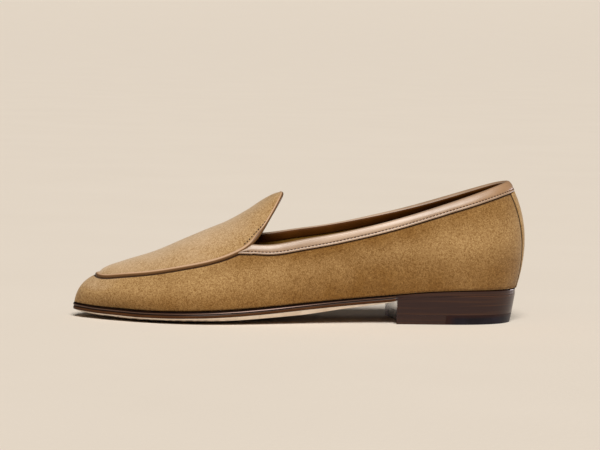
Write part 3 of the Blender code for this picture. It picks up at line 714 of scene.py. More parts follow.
def plate(name, layers, zone_of_level=None, marks=None):
    """A closed solid: the first and last grids are its faces, the others shape its side."""
    rows, columns = layers[0].shape[:2]
    top, bottom = layers[0].reshape(-1, 3), layers[-1].reshape(-1, 3)
    rims = np.stack([rim_of(layer) for layer in layers])
    levels, around = rims.shape[:2]
    points = np.concatenate([top, bottom, rims.reshape(-1, 3)])
    flat = grid_faces(rows, columns)
    ring = np.arange(around)
    after = np.roll(ring, -1)
    faces = [flat, flat + len(top)]
    zone_of_level = zone_of_level or [0] * (levels + 1)
    zones = [np.full(len(flat), zone_of_level[0]), np.full(len(flat), zone_of_level[-1])]
    for level in range(levels - 1):
        upper = 2 * len(top) + level * around
        lower = upper + around
        faces.append(np.stack([upper + ring, upper + after, lower + after, lower + ring], axis=1))
        zones.append(np.full(around, zone_of_level[level + 1]))
    return mesh_of(name, points, np.concatenate(faces), np.concatenate(zones), marks)


def rim_marks(layers, rows):
    """A plate's mark that is 0 on its two faces and has a row of values round each layer."""
    return np.concatenate([np.zeros(2 * layers[0][..., 0].size), *rows])


def swept(name, rings, zone_of_side, marks):
    """A closed solid through rings of points, capped at its ends; its sides have their zones."""
    count, around = rings.shape[:2]
    ring = np.arange(around)
    after = np.roll(ring, -1)
    faces = []
    for i in range(count - 1):
        here, there = i * around, (i + 1) * around
        faces += np.stack([here + ring, here + after, there + after, there + ring], axis=1).tolist()
    faces.append(ring.tolist())
    faces.append((ring + (count - 1) * around).tolist())
    zones = list(zone_of_side) * (count - 1) + [0, 0]
    return mesh_of(name, rings.reshape(-1, 3), faces, zones, marks)


# Shading


def feed(tree, node, inputs):
    """Gives a node's inputs their values, or links them to the sockets that feed them."""
    for name, value in inputs.items():
        if isinstance(value, bpy.types.NodeSocket):
            tree.links.new(value, node.inputs[name])
        else:
            node.inputs[name].default_value = value


def add(tree, kind, inputs=None, **settings):
    """A new node with its settings and its inputs."""
    node = tree.nodes.new(kind)
    for name, value in settings.items():
        setattr(node, name, value)
    feed(tree, node, inputs or {})
    return node


def object_coords(tree):
    return tree.nodes.new("ShaderNodeTexCoord").outputs["Object"]


def marked(tree, name):
    """A mark that a mesh carries at its corners."""
    return add(tree, "ShaderNodeAttribute", attribute_name=name).outputs["Fac"]


def noise(tree, vector, per_metre, detail=3.0, rough=0.55, bend=0.0):
    inputs = {"Vector": vector, "Scale": per_metre, "Detail": detail}
    inputs |= {"Roughness": rough, "Distortion": bend}
    return add(tree, "ShaderNodeTexNoise", inputs).outputs["Fac"]


def worked(tree, operation, *values):
    inputs = dict(enumerate(values))
    return add(tree, "ShaderNodeMath", inputs, operation=operation).outputs[0]


def scaled(tree, value, share):
    return worked(tree, "MULTIPLY", value, share)


def summed(tree, first, second):
    return worked(tree, "ADD", first, second)


def eased(tree, value, low, high, start=0.0, end=1.0):
    """A value taken from low..high to start..end, and held at the ends."""
    inputs = {"Value": value, "From Min": low, "From Max": high, "To Min": start, "To Max": end}
    return add(tree, "ShaderNodeMapRange", inputs, clamp=True).outputs["Result"]


def mixed(tree, share, first, second, blend="MIX"):
    """Two colours mixed by a share."""
    inputs = {0: share, 6: first, 7: second}
    return add(tree, "ShaderNodeMix", inputs, data_type="RGBA", blend_type=blend).outputs[2]


def toned(tree, base, lit=None, shaded=None):
    """A colour led to a lit one where the piece's tone is above 0, and to a shaded one below."""
    for tint, full in ((lit, 1.0), (shaded, -1.0)):
        if tint:
            base = mixed(tree, eased(tree, marked(tree, "tone"), 0.0, full), base, tint)
    return base


def bumped(tree, height, depth):
    """A normal from a height, with the depth of its relief in millimetres."""
    inputs = {"Height": height, "Strength": 1.0, "Distance": depth * MM}
    return add(tree, "ShaderNodeBump", inputs).outputs["Normal"]


def group_of(name, scale, outputs, fill):
    """A shader group, built once, with a named scale and the values that it puts out."""
    if name in bpy.data.node_groups:
        return bpy.data.node_groups[name]
    tree = bpy.data.node_groups.new(name, "ShaderNodeTree")
    tree.interface.new_socket(scale, in_out="INPUT", socket_type="NodeSocketFloat")
    for label in outputs:
        tree.interface.new_socket(label, in_out="OUTPUT", socket_type="NodeSocketFloat")
    given = tree.nodes.new("NodeGroupInput").outputs[scale]
    feed(tree, tree.nodes.new("NodeGroupOutput"), fill(tree, object_coords(tree), given))
    return tree


def nap_group():
    """Suede: Mottle is the lie of the fibres, Brush the hand's passes, Height the pile."""

    def fill(tree, coords, fibres):
        fine = noise(tree, coords, fibres, detail=2.0, rough=0.6)
        coarse = noise(tree, coords, scaled(tree, fibres, 0.4), detail=2.0, rough=0.5)
        tufts = summed(tree, scaled(tree, fine, 0.7), scaled(tree, coarse, 0.3))
        brush = noise(tree, coords, 70.0, detail=3.0, rough=0.5, bend=0.4)
        pile = noise(tree, coords, scaled(tree, fibres, 2.3), detail=2.0)
        return {
            "Mottle": eased(tree, tufts, 0.36, 0.64),
            "Brush": eased(tree, brush, 0.3, 0.7),
            "Height": summed(tree, tufts, scaled(tree, pile, 0.6)),
        }

    return group_of("Nap", "Fibres per metre", ("Mottle", "Brush", "Height"), fill)


def grain_group():
    """Leather: Tone is the uneven take of the dye, Rub the handled places, Height the pores."""

    def fill(tree, coords, pores):
        take = noise(tree, coords, 120.0, detail=4.0, rough=0.55, bend=0.5)
        rub = noise(tree, coords, 38.0, detail=3.0, rough=0.6)
        packed = {"Vector": coords, "Scale": pores}
        cells = add(tree, "ShaderNodeTexVoronoi", packed, feature="SMOOTH_F1").outputs["Distance"]
        between_cells = noise(tree, coords, pores, detail=3.0)
        return {
            "Tone": eased(tree, take, 0.3, 0.7),
            "Rub": eased(tree, rub, 0.48, 0.72),
            "Height": summed(tree, cells, scaled(tree, between_cells, 0.5)),
        }

    return group_of("Grain", "Pores per metre", ("Tone", "Rub", "Height"), fill)


def grain_of(tree, pores=1400.0):
    inputs = {"Pores per metre": pores}
    return add(tree, "ShaderNodeGroup", inputs, node_tree=grain_group()).outputs


@cache
def finish(fill):
    """The material of a finish, made once and named after the function that fills its tree."""
    material = bpy.data.materials.new(fill.__name__.replace("_", " "))
    material.use_nodes = True
    tree = material.node_tree
    feed(tree, tree.nodes["Principled BSDF"], fill(tree))
    return material


# Finishes: each fills a material's tree and gives the inputs of its shader


def suede(tree):
    """Napped suede with brush marks, with painted light on the apron and toe, painted shade down
    the wall and painted shadow along its seams.
    """
    inputs = {"Fibres per metre": 1700.0}
    nap = add(tree, "ShaderNodeGroup", inputs, node_tree=nap_group()).outputs
    base = mixed(tree, nap["Mottle"], colour("suede_dark"), colour("suede"))
    even = mixed(tree, 0.5, colour("suede_dark"), colour("suede"))
    # The tone mark is painted light and shade; lie and lighter add the brush marks to it
    tone = marked(tree, "tone")
    brushed = scaled(tree, worked(tree, "SUBTRACT", nap["Brush"], 0.5), 0.42)
    lie = summed(tree, tone, brushed)
    # Where the painted light falls the mottle is evened out; below 0 the painted shade darkens the
    # nap, above 0 the painted light lightens it
    base = mixed(tree, eased(tree, lie, 0.0, 0.5, 0.0, 0.5), base, even)
    base = mixed(tree, eased(tree, lie, 0.0, -1.5), base, colour("suede_low"), "MULTIPLY")
    lighter = summed(tree, tone, scaled(tree, brushed, 0.45))
    base = mixed(tree, eased(tree, lighter, 0.0, 1.0), base, colour("suede_light"), "MULTIPLY")
    # Painted shadow lines beside the seams and where the suede meets the sole
    painted_seam_shadow = eased(tree, marked(tree, "seam"), 0.3, 0.9, 1.0, 0.0)
    return {
        "Base Color": mixed(tree, painted_seam_shadow, base, colour("seam")),
        "Normal": bumped(tree, nap["Height"], 0.18),
        "Roughness": 0.95,
        "Specular IOR Level": 0.15,
        "Sheen Weight": 0.3,
        "Sheen Roughness": 0.45,
        "Sheen Tint": (0.95, 0.8, 0.6, 1.0),
    }


def grained(tree, low, high, depth, take=1.0, lit=None, shaded=None, pores=1400.0, rough=None):
    """Leather or rubber dyed unevenly from low to high, then lit or shaded by the piece's tone."""
    grain = grain_of(tree, pores)
    base = mixed(tree, scaled(tree, grain["Tone"], take), low, high)
    inputs = {
        "Base Color": toned(tree, base, lit, shaded),
        "Normal": bumped(tree, grain["Height"], depth),
    }
    if rough:
        inputs["Roughness"] = eased(tree, grain["Rub"], 0.0, 1.0, *rough)
    return inputs


def smooth_leather(tree):
    """The collar's binding, with a painted highlight along its middle, painted shade towards the
    heel's back, and darker in its channel.
    """
    light_and_painted_highlight = colour("smooth_light")
    inputs = grained(
        tree, colour("smooth"), light_and_painted_highlight, 0.06, take=0.3, lit=light_and_painted_highlight, shaded=colour("channel"),
        pores=2200.0, rough=(0.44, 0.32),
    )
    return inputs | {"Specular IOR Level": 0.5, "Coat Weight": 0.3, "Coat Roughness": 0.3}


def cord_leather(tree):
    """The piping, with a painted highlight on its crown and painted shade on its lower side."""
    light_and_painted_highlight = colour("cord_light")
    inputs = grained(
        tree, colour("cord"), light_and_painted_highlight, 0.06, take=0.3, lit=light_and_painted_highlight, shaded=colour("cord_shade"),
        pores=2200.0, rough=(0.44, 0.32),
    )
    return inputs | {"Specular IOR Level": 0.15, "Coat Weight": 0.09, "Coat Roughness": 0.3}


def dull_leather(tree, tint, depth, rough):
    """Leather of the shoe's inside."""
    low = colour(tint, 0.72, 0.68, 0.62)
    inputs = grained(tree, low, colour(tint), depth, rough=(rough, rough - 0.14))
    return inputs | {"Specular IOR Level": 0.08}


def lining_leather(tree):
    return dull_leather(tree, "lining", 0.08, 0.62)


def turned_leather(tree):
    """The binding's inner leaf, dark as painted shade."""
    return dull_leather(tree, "turned_in", 0.08, 0.62)


def sock_leather(tree):
    return dull_leather(tree, "insole", 0.06, 0.5)


def inked_leather(tree, shine, gloss):
    """The sole's edge, darker in its grooves, with painted shadow on its ledge and a painted
    highlight on its bead.
    """
    inputs = grained(
        tree, colour("sole_edge"), colour("sole_edge_warm"), 0.04, take=0.7,
        lit=colour("sole_bead"), shaded=colour("sole_ink"), rough=(0.3, 0.42),
    )
    return inputs | {"Specular IOR Level": shine, "Coat Weight": gloss, "Coat Roughness": 0.16}


# The ledge is black as painted shadow under the suede's swell
def inked_ledge(tree):
    return inked_leather(tree, 0.0, 0.0)


def inked_edge(tree):
    return inked_leather(tree, 0.1, 0.0)


def rubbed_bead(tree):
    return inked_leather(tree, 0.1, 0.4)


def bare_leather(tree, tint, rough):
    """Cut leather with no ink, with painted shadow where its tone is below 0."""
    low = colour(tint, 0.8, 0.74, 0.66)
    return grained(
        tree, low, colour(tint), 0.08, shaded=colour("sole_ink"), pores=900.0,
        rough=(rough, rough - 0.1),
    )


def bare_bevel(tree):
    return bare_leather(tree, "sole_bevel", 0.6)


def tread_leather(tree):
    return bare_leather(tree, "tread", 0.55)


def stacked_leather(tree):
    """Lifts of leather pressed together: streaks that run level round the heel."""
    grain = grain_of(tree)
    level_run = {"Vector": object_coords(tree), "Scale": (14.0, 14.0, 900.0)}
    pressed = add(tree, "ShaderNodeMapping", level_run).outputs["Vector"]
    streaks = noise(tree, pressed, 1.0, detail=3.0, rough=0.6, bend=0.2)
    base = mixed(tree, eased(tree, streaks, 0.48, 0.72), colour("heel"), colour("heel_warm"))
    height = summed(tree, streaks, scaled(tree, grain["Height"], 0.3))
    return {
        "Base Color": toned(tree, base, colour("heel_warm", 1.5, 1.5, 1.5), colour("sole_ink")),
        "Normal": bumped(tree, height, 0.06),
        "Roughness": eased(tree, grain["Rub"], 0.0, 1.0, 0.28, 0.4),
        "Specular IOR Level": 0.15,
        "Coat Weight": 0.4,
        "Coat Roughness": 0.22,
    }


def polished_breast(tree):
    """The front of the heel, its dark heel colour mixed unevenly with a painted lilac reflection.
    """
    inputs = grained(tree, colour("heel"), colour("breast"), 0.03)
    inputs |= {"Roughness": 0.25, "Specular IOR Level": 0.5}
    return inputs | {"Coat Weight": 1.0, "Coat Roughness": 0.08}


def rubber(tree):
    inputs = grained(
        tree, colour("rubber"), colour("rubber", 2.2, 2.3, 2.4), 0.04, lit=colour("heel"),
        pores=3000.0, rough=(0.42, 0.55),
    )
    return inputs | {"Specular IOR Level": 0.16}


def thread(tree):
    twist = noise(tree, object_coords(tree), 4000.0, detail=2.0)
    base = mixed(tree, twist, colour("thread"), colour("thread", 1.9, 1.8, 1.7))
    return {"Base Color": base, "Normal": bumped(tree, twist, 0.05), "Roughness": 0.6}


def studio_floor(tree):
    coords = object_coords(tree)
    cloud = eased(tree, noise(tree, coords, 6.0, detail=5.0), 0.3, 0.7)
    return {
        "Base Color": mixed(tree, cloud, colour("floor", 0.98, 0.978, 0.976), colour("floor")),
        "Normal": bumped(tree, noise(tree, coords, 260.0, detail=4.0), 0.2),
        "Roughness": 0.85,
        "Specular IOR Level": 0.2,
    }


# The upper

# How steeply the painted shadow line beside each seam and the sole fades: more is a narrower line
BINDING_LINE = 0.8
PIPING_LINE = 2.2
STRIP_LINE_LOW, STRIP_LINE_HIGH = 1.6, 0.9  # by the sole and by the collar
SOLE_LINE = 6.0
PIPING_FOOT = 0.5  # from the edge of the piping to its line
NO_SEAM = 100.0  # a distance from every line
# painted shade in a crease's trough and painted light on its ridge
CREASE_PAINTED_SHADE = 0.6  # tone for each millimetre that a crease stands out
LINING_GAP = 0.1  # between suede and lining


def leaf_height(side, reach):
    """Height of the binding's outer leaf."""
    top = EDGE_LINE[side].at(reach.ravel())
    return along(BINDING_LEAF, "height", top[:, 0]).reshape(reach.shape)


def strip_half_width(share):
    """Half the back strip's width at a share of its way up from the sole."""
    return mm("strip_low") + (mm("strip_high") - mm("strip_low")) * share


def seam_distance(side, reach, below):
    """Distance on the wall to the nearest seam or to the sole, each counted as its painted shadow
    line fades.
    """
    height, leaf = wall_height(side, reach), leaf_height(side, reach)
    half = mm("piping_width") / 2
    bound = (reach >= 1) | ((reach >= BINDING_FRONT) & (leaf > half))
    to_piping = (below - half - PIPING_FOOT) * PIPING_LINE
    to_top = np.where(bound, (below - leaf) * BINDING_LINE, to_piping)
    share = np.clip(1 - below / height, 0, 1)
    fade = STRIP_LINE_LOW + (STRIP_LINE_HIGH - STRIP_LINE_LOW) * share
    to_strip = ((2 - reach) * EDGE_LINE[side].back - strip_half_width(share)) * fade
    return np.minimum(np.minimum(to_top, to_strip), (height - below) * SOLE_LINE)


def wall_tone(side, reach, rise):
    """Painted light and shade on the wall: light at the toe, dark low down, high up behind the toe,
    at the waist and in the troughs.
    """
    low = -ease(rise, 0.66, 0)
    behind_toe = 0.25 * ease(reach, 0.3, 0.5) + 0.7 * ease(reach, 0.7, 1)
    high = -behind_toe * ease(rise, 0.5, 0.85)
    toe = 0.3 * ease(reach, 0.4, 0.05) - 0.12 * ease(reach, 0.2, 0.4)
    waist = -0.35 * bell(reach - 1.35, 0.25)
    return low + high + toe + waist + CREASE_PAINTED_SHADE * relief(side, reach, rise)


def apron_tone(reach, across):
    """Painted light on the apron: lighter towards the instep's ridge and towards the toe, and less
    so up the tongue.
    """
    fore = 0.15 * ease(reach, 0.6, 0.2)
    ridge = 0.33 * (1 - across**2) + 0.5 * (1 - np.abs(across)) ** 3
    return fore + (0.12 + ridge) * (1 - 0.7 * ease(reach, 0.72, 1))


def upper_skin(name, sunk):
    """The outside of the upper, or a skin sunk below it, open at the collar and underneath."""
    fore = np.linspace(0, 1, FOREPART_RIBS + 1)
    ribs = np.concatenate([fore, np.linspace(1, 2, QUARTER_RIBS + 1)[1:]])
    patches, seams, tones = [], [], []
    for side in SIDES:
        band = 1 - SEAM_BAND / wall_height(side, ribs)[:, None]
        upper_rows = 1 - (1 - band) * np.linspace(0, 1, SEAM_ROWS + 1)
        rise = np.hstack([upper_rows, band * np.linspace(1, 0, WALL_ROWS + 1)[1:]])
        reach = np.broadcast_to(ribs[:, None], rise.shape)
        creased = wall_normal(side, reach, rise) * relief(side, reach, rise)[..., None]
        patches.append(wall(side, reach, rise) + creased)
        seams.append(seam_distance(side, reach, (1 - rise) * wall_height(side, reach)))
        tones.append(wall_tone(side, reach, rise))
    across = np.linspace(-1, 1, APRON_COLUMNS + 1)
    patches.append(apron(fore[:, None], across))
    seams.append(np.full(patches[-1].shape[:2], NO_SEAM))
    tones.append(apron_tone(fore[:, None], across))
    first = np.cumsum([0] + [patch[..., 0].size for patch in patches])
    faces = [grid_faces(*patch.shape[:2], start) for patch, start in zip(patches, first)]
    points = [patch.reshape(-1, 3) for patch in patches]
    # The seam mark places painted shadow lines; the tone mark carries painted light and shade
    marks = {"seam": np.concatenate([rows.ravel() for rows in seams])}
    marks["tone"] = np.concatenate([rows.ravel() for rows in tones])
    mesh = mesh_of(name, np.concatenate(points), np.concatenate(faces), marks=marks)
    if sum(face.normal.z * face.area for face in mesh.polygons) < 0:
        mesh.flip_normals()
    if sunk:
        places = np.array([vertex.co - vertex.normal * sunk for vertex in mesh.vertices])
        mesh.vertices.foreach_set("co", places.ravel())
    return mesh


def walled(mesh, thickness):
    """A skin given its thickness inwards."""

    def thicken(bench):
        wall_of = bench.modifiers.new("wall", "SOLIDIFY")
        wall_of.thickness = thickness
        wall_of.offset = -1.0
        wall_of.use_quality_normals = True

    return settled(mesh, thicken)


class LOAFER_OT_make_upper(bpy.types.Operator):
    """Suede shell and its lining"""

    bl_idname = "loafer.make_upper"
    bl_label = "Make Upper"
    bl_options = {"REGISTER", "UNDO"}

    def execute(self, context):
        sizes = context.scene.loafer_sizes
        skin = walled(upper_skin("suede_upper", 0.0), sizes.suede)
        made("suede_upper", skin, [suede], "upper")
        under = sizes.suede + LINING_GAP * MM
        inside = walled(upper_skin("upper_lining", under), sizes.lining)
        made("upper_lining", inside, [lining_leather])
        return {"FINISHED"}


# Trees that follow a rail


def rail_mesh(name, points, ways, closed, roll=None):
    """A line of edges for the node trees to follow, with the ways it faces and its roll."""
    mesh = bpy.data.meshes.new(name)
    count = len(points)
    edges = [(i, i + 1) for i in range(count - 1)]
    if closed:
        edges.append((count - 1, 0))
    mesh.from_pydata(placed(points).tolist(), edges, [])
    facing = np.asarray(ways, np.float32) * (-1, 1, 1)
    way = mesh.attributes.new("way", "FLOAT_VECTOR", "POINT")
    way.data.foreach_set("vector", facing.astype(np.float32).ravel())
    if roll is not None:
        turned = mesh.attributes.new("roll", "FLOAT", "POINT")
        turned.data.foreach_set("value", roll.astype(np.float32))
    return mesh


def tree_of(name, sizes):
    """A geometry tree that takes a rail, its sizes and a material, and the rail as a curve."""
    tree = bpy.data.node_groups.new(name, "GeometryNodeTree")
    kinds = {"Rail": "NodeSocketGeometry"} | dict.fromkeys(sizes, "NodeSocketFloat")
    kinds["Material"] = "NodeSocketMaterial"
    for label, kind in kinds.items():
        tree.interface.new_socket(label, in_out="INPUT", socket_type=kind)
    tree.interface.new_socket("Geometry", in_out="OUTPUT", socket_type="NodeSocketGeometry")
    given = tree.nodes.new("NodeGroupInput").outputs
    rail = add(tree, "GeometryNodeMeshToCurve", {"Mesh": given["Rail"]}).outputs[0]
    return tree, given, rail


def end_tree(tree, shape, material):
    """Ends a tree: what it made is realized, shaded smooth and given its material."""
    solid = add(tree, "GeometryNodeRealizeInstances", {"Geometry": shape}).outputs[0]
    soft = add(tree, "GeometryNodeSetShadeSmooth", {"Geometry": solid}).outputs[0]
    coated = add(tree, "GeometryNodeSetMaterial", {"Geometry": soft, "Material": material})
    feed(tree, tree.nodes.new("NodeGroupOutput"), {"Geometry": coated.outputs[0]})


def named(tree, name, kind="FLOAT"):
    """A mark of the rail or of the shape swept along it."""
    node = add(tree, "GeometryNodeInputNamedAttribute", {"Name": name}, data_type=kind)
    return node.outputs["Attribute"]


def stored(tree, shape, name, value):
    """A shape with a mark put on its points."""
    inputs = {"Geometry": shape, "Name": name, "Value": value}
    kind = {"data_type": "FLOAT", "domain": "POINT"}
    return add(tree, "GeometryNodeStoreNamedAttribute", inputs, **kind).outputs[0]


def sized(tree, shape, x, y, z):
    """A shape scaled by an amount along each axis."""
    size = add(tree, "ShaderNodeCombineXYZ", {"X": x, "Y": y, "Z": z}).outputs[0]
    return add(tree, "GeometryNodeTransform", {"Geometry": shape, "Scale": size}).outputs[0]


def grown(rail, tree, values):
    """What a tree makes of a rail, as a plain mesh."""

    def grow(bench):
        growth = bench.modifiers.new("growth", "NODES")
        growth.node_group = tree
        for socket in tree.interface.items_tree:
            if socket.in_out == "INPUT" and socket.name in values:
                growth[socket.identifier] = values[socket.name]

    return settled(rail, grow)


# The piping

PIPING_STEP = 1.0  # distance between the points of the cord's path
PIPING_LIFT = 0.1  # the cord's flat underside over the seam's slight ridge
CORD_LEAN = 0.75  # how far the cord leans from the apron's side of its seam to the wall's
POINT_SINK = 0.4  # the cord is pulled in where it turns round the apron's point
POINT_REACH = 6.0
CORNER_LIFT = 0.7  # extra room where the cord crosses the binding's ends
CORNER_REACH = 7.0  # distance over which that room is given
CORNER_ROUND = 16.0  # distance from a corner over which the cord's bend is eased
CORNER_PASSES, WAY_PASSES = 60, 12  # how often its path and the ways it faces are smoothed
TURN_START, TURN_END = 2.5, 18.5  # from a corner: the cord rolls to the tongue's rim
ROLL_LIFT = 0.5  # keeps the rolling cord clear of the rim's corner
ROLL_HEIGHT = 8.0  # height over the throat at which the tone takes the cord as rolled
CORD_POINTS = 17

# The cord's painted light and shade across its section: where its painted lit side ends, and the
# tones beside that line
ROLLED_LINE = 0.87  # share of half its width that the line moves as the cord rolls
ROLLED_SHARPER = 2.0
CORD_FADE = (-0.25, 0.3)
CORD_TONES = (-0.95, 0.85)


def cord_tree():
    """A half-round cord laid along a rail, flat side to the seam."""
    tree, given, rail = tree_of("Cord in a seam", ("Width", "Rise"))
    facing = {"Curve": rail, "Normal": named(tree, "way", "FLOAT_VECTOR")}
    rail = add(tree, "GeometryNodeSetCurveNormal", facing, mode="FREE").outputs[0]
    half_turn = {"Resolution": CORD_POINTS, "Radius": 1.0}
    half_turn |= {"Start Angle": -np.pi / 2, "Sweep Angle": np.pi}
    arc = add(tree, "GeometryNodeCurveArc", half_turn).outputs["Curve"]
    place = tree.nodes.new("GeometryNodeInputPosition").outputs[0]
    aside = add(tree, "ShaderNodeSeparateXYZ", {0: place}).outputs["Y"]
    closed = {"Geometry": stored(tree, arc, "aside", aside), "Cyclic": True}
    ring = add(tree, "GeometryNodeSetSplineCyclic", closed).outputs[0]
    section = sized(tree, ring, given["Rise"], scaled(tree, given["Width"], 0.5), 1.0)
    body = {"Curve": rail, "Profile Curve": section, "Fill Caps": True}
    cord = add(tree, "GeometryNodeCurveToMesh", body).outputs[0]
    # The tone mark is painted light and shade across the cord, its line moving over as the cord
    # rolls up the tongue's rim
    roll = named(tree, "roll")
    lit = worked(tree, "SUBTRACT", named(tree, "aside"), scaled(tree, roll, ROLLED_LINE))
    lit = scaled(tree, lit, worked(tree, "MULTIPLY_ADD", roll, ROLLED_SHARPER, 1.0))
    tone = eased(tree, lit, *CORD_FADE, *CORD_TONES)
    end_tree(tree, stored(tree, cord, "tone", tone), given["Material"])
    return tree


def evened(places, ways):
    """A closed path with its points set evenly apart."""
    steps = np.linalg.norm(np.roll(places, -1, axis=0) - places, axis=1)
    length = np.concatenate([[0], np.cumsum(steps)])
    at = np.linspace(0, length[-1], int(length[-1] / PIPING_STEP), endpoint=False)
    loops = []
    for each in (places, ways):
        columns = [np.interp(at, length, np.append(row, row[0])) for row in each.T]
        loops.append(np.column_stack(columns))
    return loops


def softened(values, share, passes):
    """A closed row of values, smoothed where share is 1 and kept where it is 0."""
    for _ in range(passes):
        near = (np.roll(values, 1, axis=0) + np.roll(values, -1, axis=0)) / 2
        values = values + (near - values) * (share / 2)[:, None]
    return values


def nearest_distance(places, targets):
    """Distance of each place from the nearest of some targets."""
    return np.linalg.norm(places[:, None] - targets[None], axis=-1).min(axis=1)


@cache
def piping_path():
    """The seam round the apron and the tongue's edge, with the ways the cord sits proud."""
    fore = np.linspace(0, 1, FOREPART_RIBS + 1)
    seams, seam_ways = [], []
    for side, reach in ((OUTER, fore[::-1]), (INNER, fore[1:])):
        across = np.full_like(reach, side)
        over_wall, over_apron = wall_normal(side, reach, 1.0), apron_normal(reach, across)
        seams.append(apron(reach, across))
        seam_ways.append(unit(CORD_LEAN * over_wall + (1 - CORD_LEAN) * over_apron))
    tongue = np.cos(np.linspace(0, np.pi, TONGUE_STEPS + 1))[1:-1]
    rim = apron(1.0, tongue)
    rim_way = apron_normal(np.ones_like(tongue), tongue)
    before_rim = 0.97
    past_rim = square_to(np.gradient(rim, axis=0), rim - apron(before_rim, tongue))
    on_rim = slice(-len(rim), None)
    places = np.concatenate(seams + [rim])
    corners, point = places[[0, 2 * FOREPART_RIBS]], places[FOREPART_RIBS]
    from_corner = nearest_distance(places, corners)
    turn = ease(from_corner[on_rim], TURN_START, TURN_END)[:, None] * np.pi / 2
    places[on_rim] -= rim_way * np.sin(turn) * WALL / 2
    ways = np.concatenate(seam_ways + [rim_way * np.cos(turn) + past_rim * np.sin(turn)])
    lift = PIPING_LIFT + CORNER_LIFT * bell(from_corner, CORNER_REACH)
    lift[on_rim] += ROLL_LIFT * np.sin(2 * turn[:, 0])
    lift -= POINT_SINK * bell(np.linalg.norm(places - point, axis=-1), POINT_REACH)
    places, ways = evened(places + ways * lift[:, None], ways)
    by_corner = bell(nearest_distance(places, corners), CORNER_ROUND)
    places = softened(places, by_corner, CORNER_PASSES)
    run = unit(np.roll(places, -1, axis=0) - np.roll(places, 1, axis=0))
    return places, run, square_to(run, unit(softened(ways, np.ones(len(ways)), WAY_PASSES)))


class LOAFER_OT_make_piping(bpy.types.Operator):
    """Cord round the apron and the tongue"""

    bl_idname = "loafer.make_piping"
    bl_label = "Make Piping"
    bl_options = {"REGISTER", "UNDO"}

    def execute(self, context):
        sizes = context.scene.loafer_sizes
        places, _, ways = piping_path()
        seam = EDGE_LINE[OUTER].at(np.linspace(1, 0, 60))
        over_throat = places[:, 2] - np.interp(places[:, 0], seam[:, 0], seam[:, 2])
        roll = ease(over_throat, 0, ROLL_HEIGHT)
        rail = rail_mesh("apron_piping", places, ways, True, roll)
        values = {"Width": sizes.piping_width, "Rise": sizes.piping_rise}
        mesh = grown(rail, cord_tree(), values | {"Material": finish(cord_leather)})
        made("piping", mesh, [], "apron_piping")
        return {"FINISHED"}


# The binding

CHANNEL_HALF = 0.45  # half the width of the stitch channel
LEAF_BULGE = 0.12  # how far the outer leaf swells over the fold's edge
LEAF_CLEARANCE = 0.2  # from the wall's inside to the inner leaf
FRONT_SINK = 0.15  # how far below the seam the binding lies under the piping
FRONT_RIBS = 14
BEHIND_CORNER = 1.0005  # reach at which the binding begins to fold over the topline
FOLD_POINTS = 9
BACK_SHADE_FROM = 62.0  # station from which painted shade darkens the leaf towards the back of the heel
BACK_SHADE_TONE = -0.85
MIDDLE_HIGHLIGHT = (60.0, 85.0, 115.0, 140.0)  # stations between which the leaf has a painted highlight
MIDDLE_HIGHLIGHT_TONE = 0.55

# Points of the binding's section
CHANNEL = slice(5, 10)
CHANNEL_TONES = (0.0, -0.7, -1.0, -0.7, 0.0)
UPPER_LEAF = range(9, 19)
# faces that take the inner leaf's dark finish of painted shade
INWARD_FACE = range(20, 28)


def binding_rings(side, reach):
    """The folded binding's section at each rib, with a stitch channel near its lower edge."""
    leaf = leaf_height(side, reach)
    thick = mm("binding")
    near, far = GAP, GAP + thick
    inside = -(WALL + LEAF_CLEARANCE)
    deep = inside - thick
    channel = leaf - mm("channel_height")
    cut = far - mm("channel_depth")
    bulge = far + LEAF_BULGE
    lower = mm("binding_inside")
    middle, half = (far + deep) / 2, (far - deep) / 2
    section = [
        (leaf - 0.1, near),
        (leaf, near + 0.3 * thick),
        (leaf - 0.05, far - 0.3 * thick),
        (leaf - 0.25, far - 0.06),
        (leaf - 0.5, far),
        (channel + CHANNEL_HALF, far),
        (channel + CHANNEL_HALF / 2, (far + cut) / 2),
        (channel, cut),
        (channel - CHANNEL_HALF / 2, (far + cut) / 2),
        (channel - CHANNEL_HALF, far),
        (leaf * 0.62, bulge),
        (leaf * 0.4, bulge + 0.04),
        (leaf * 0.2, bulge),
        (0.5, far),
    ]
    for turn in np.linspace(0, np.pi, FOLD_POINTS):
        section.append((0.3 * np.cos(turn) ** 2 - np.sin(turn) * far, middle + half * np.cos(turn)))
    section += [
        (lower * 0.5, deep + 0.15 * thick),
        (lower - 0.8, deep + 0.4 * thick),
        (lower - 0.25, deep + 0.6 * thick),
        (lower, deep + 0.7 * thick),
        (lower, inside - 0.15 * thick),
        (lower - 0.1, inside),
        (0.4, inside),
        (-GAP, inside + 0.4),
        (-GAP, GAP - 0.4),
        (0.4, GAP),
        (leaf * 0.5, near),
    ]
    folded = reach >= 1
    rings = []
    for below, out in section:
        below = np.where(folded, below, np.maximum(np.minimum(below, leaf), FRONT_SINK))
        out = np.where(folded, out, np.maximum(out, GAP))
        rings.append(on_wall(side, reach, below, out))
    return np.stack(rings, axis=1)


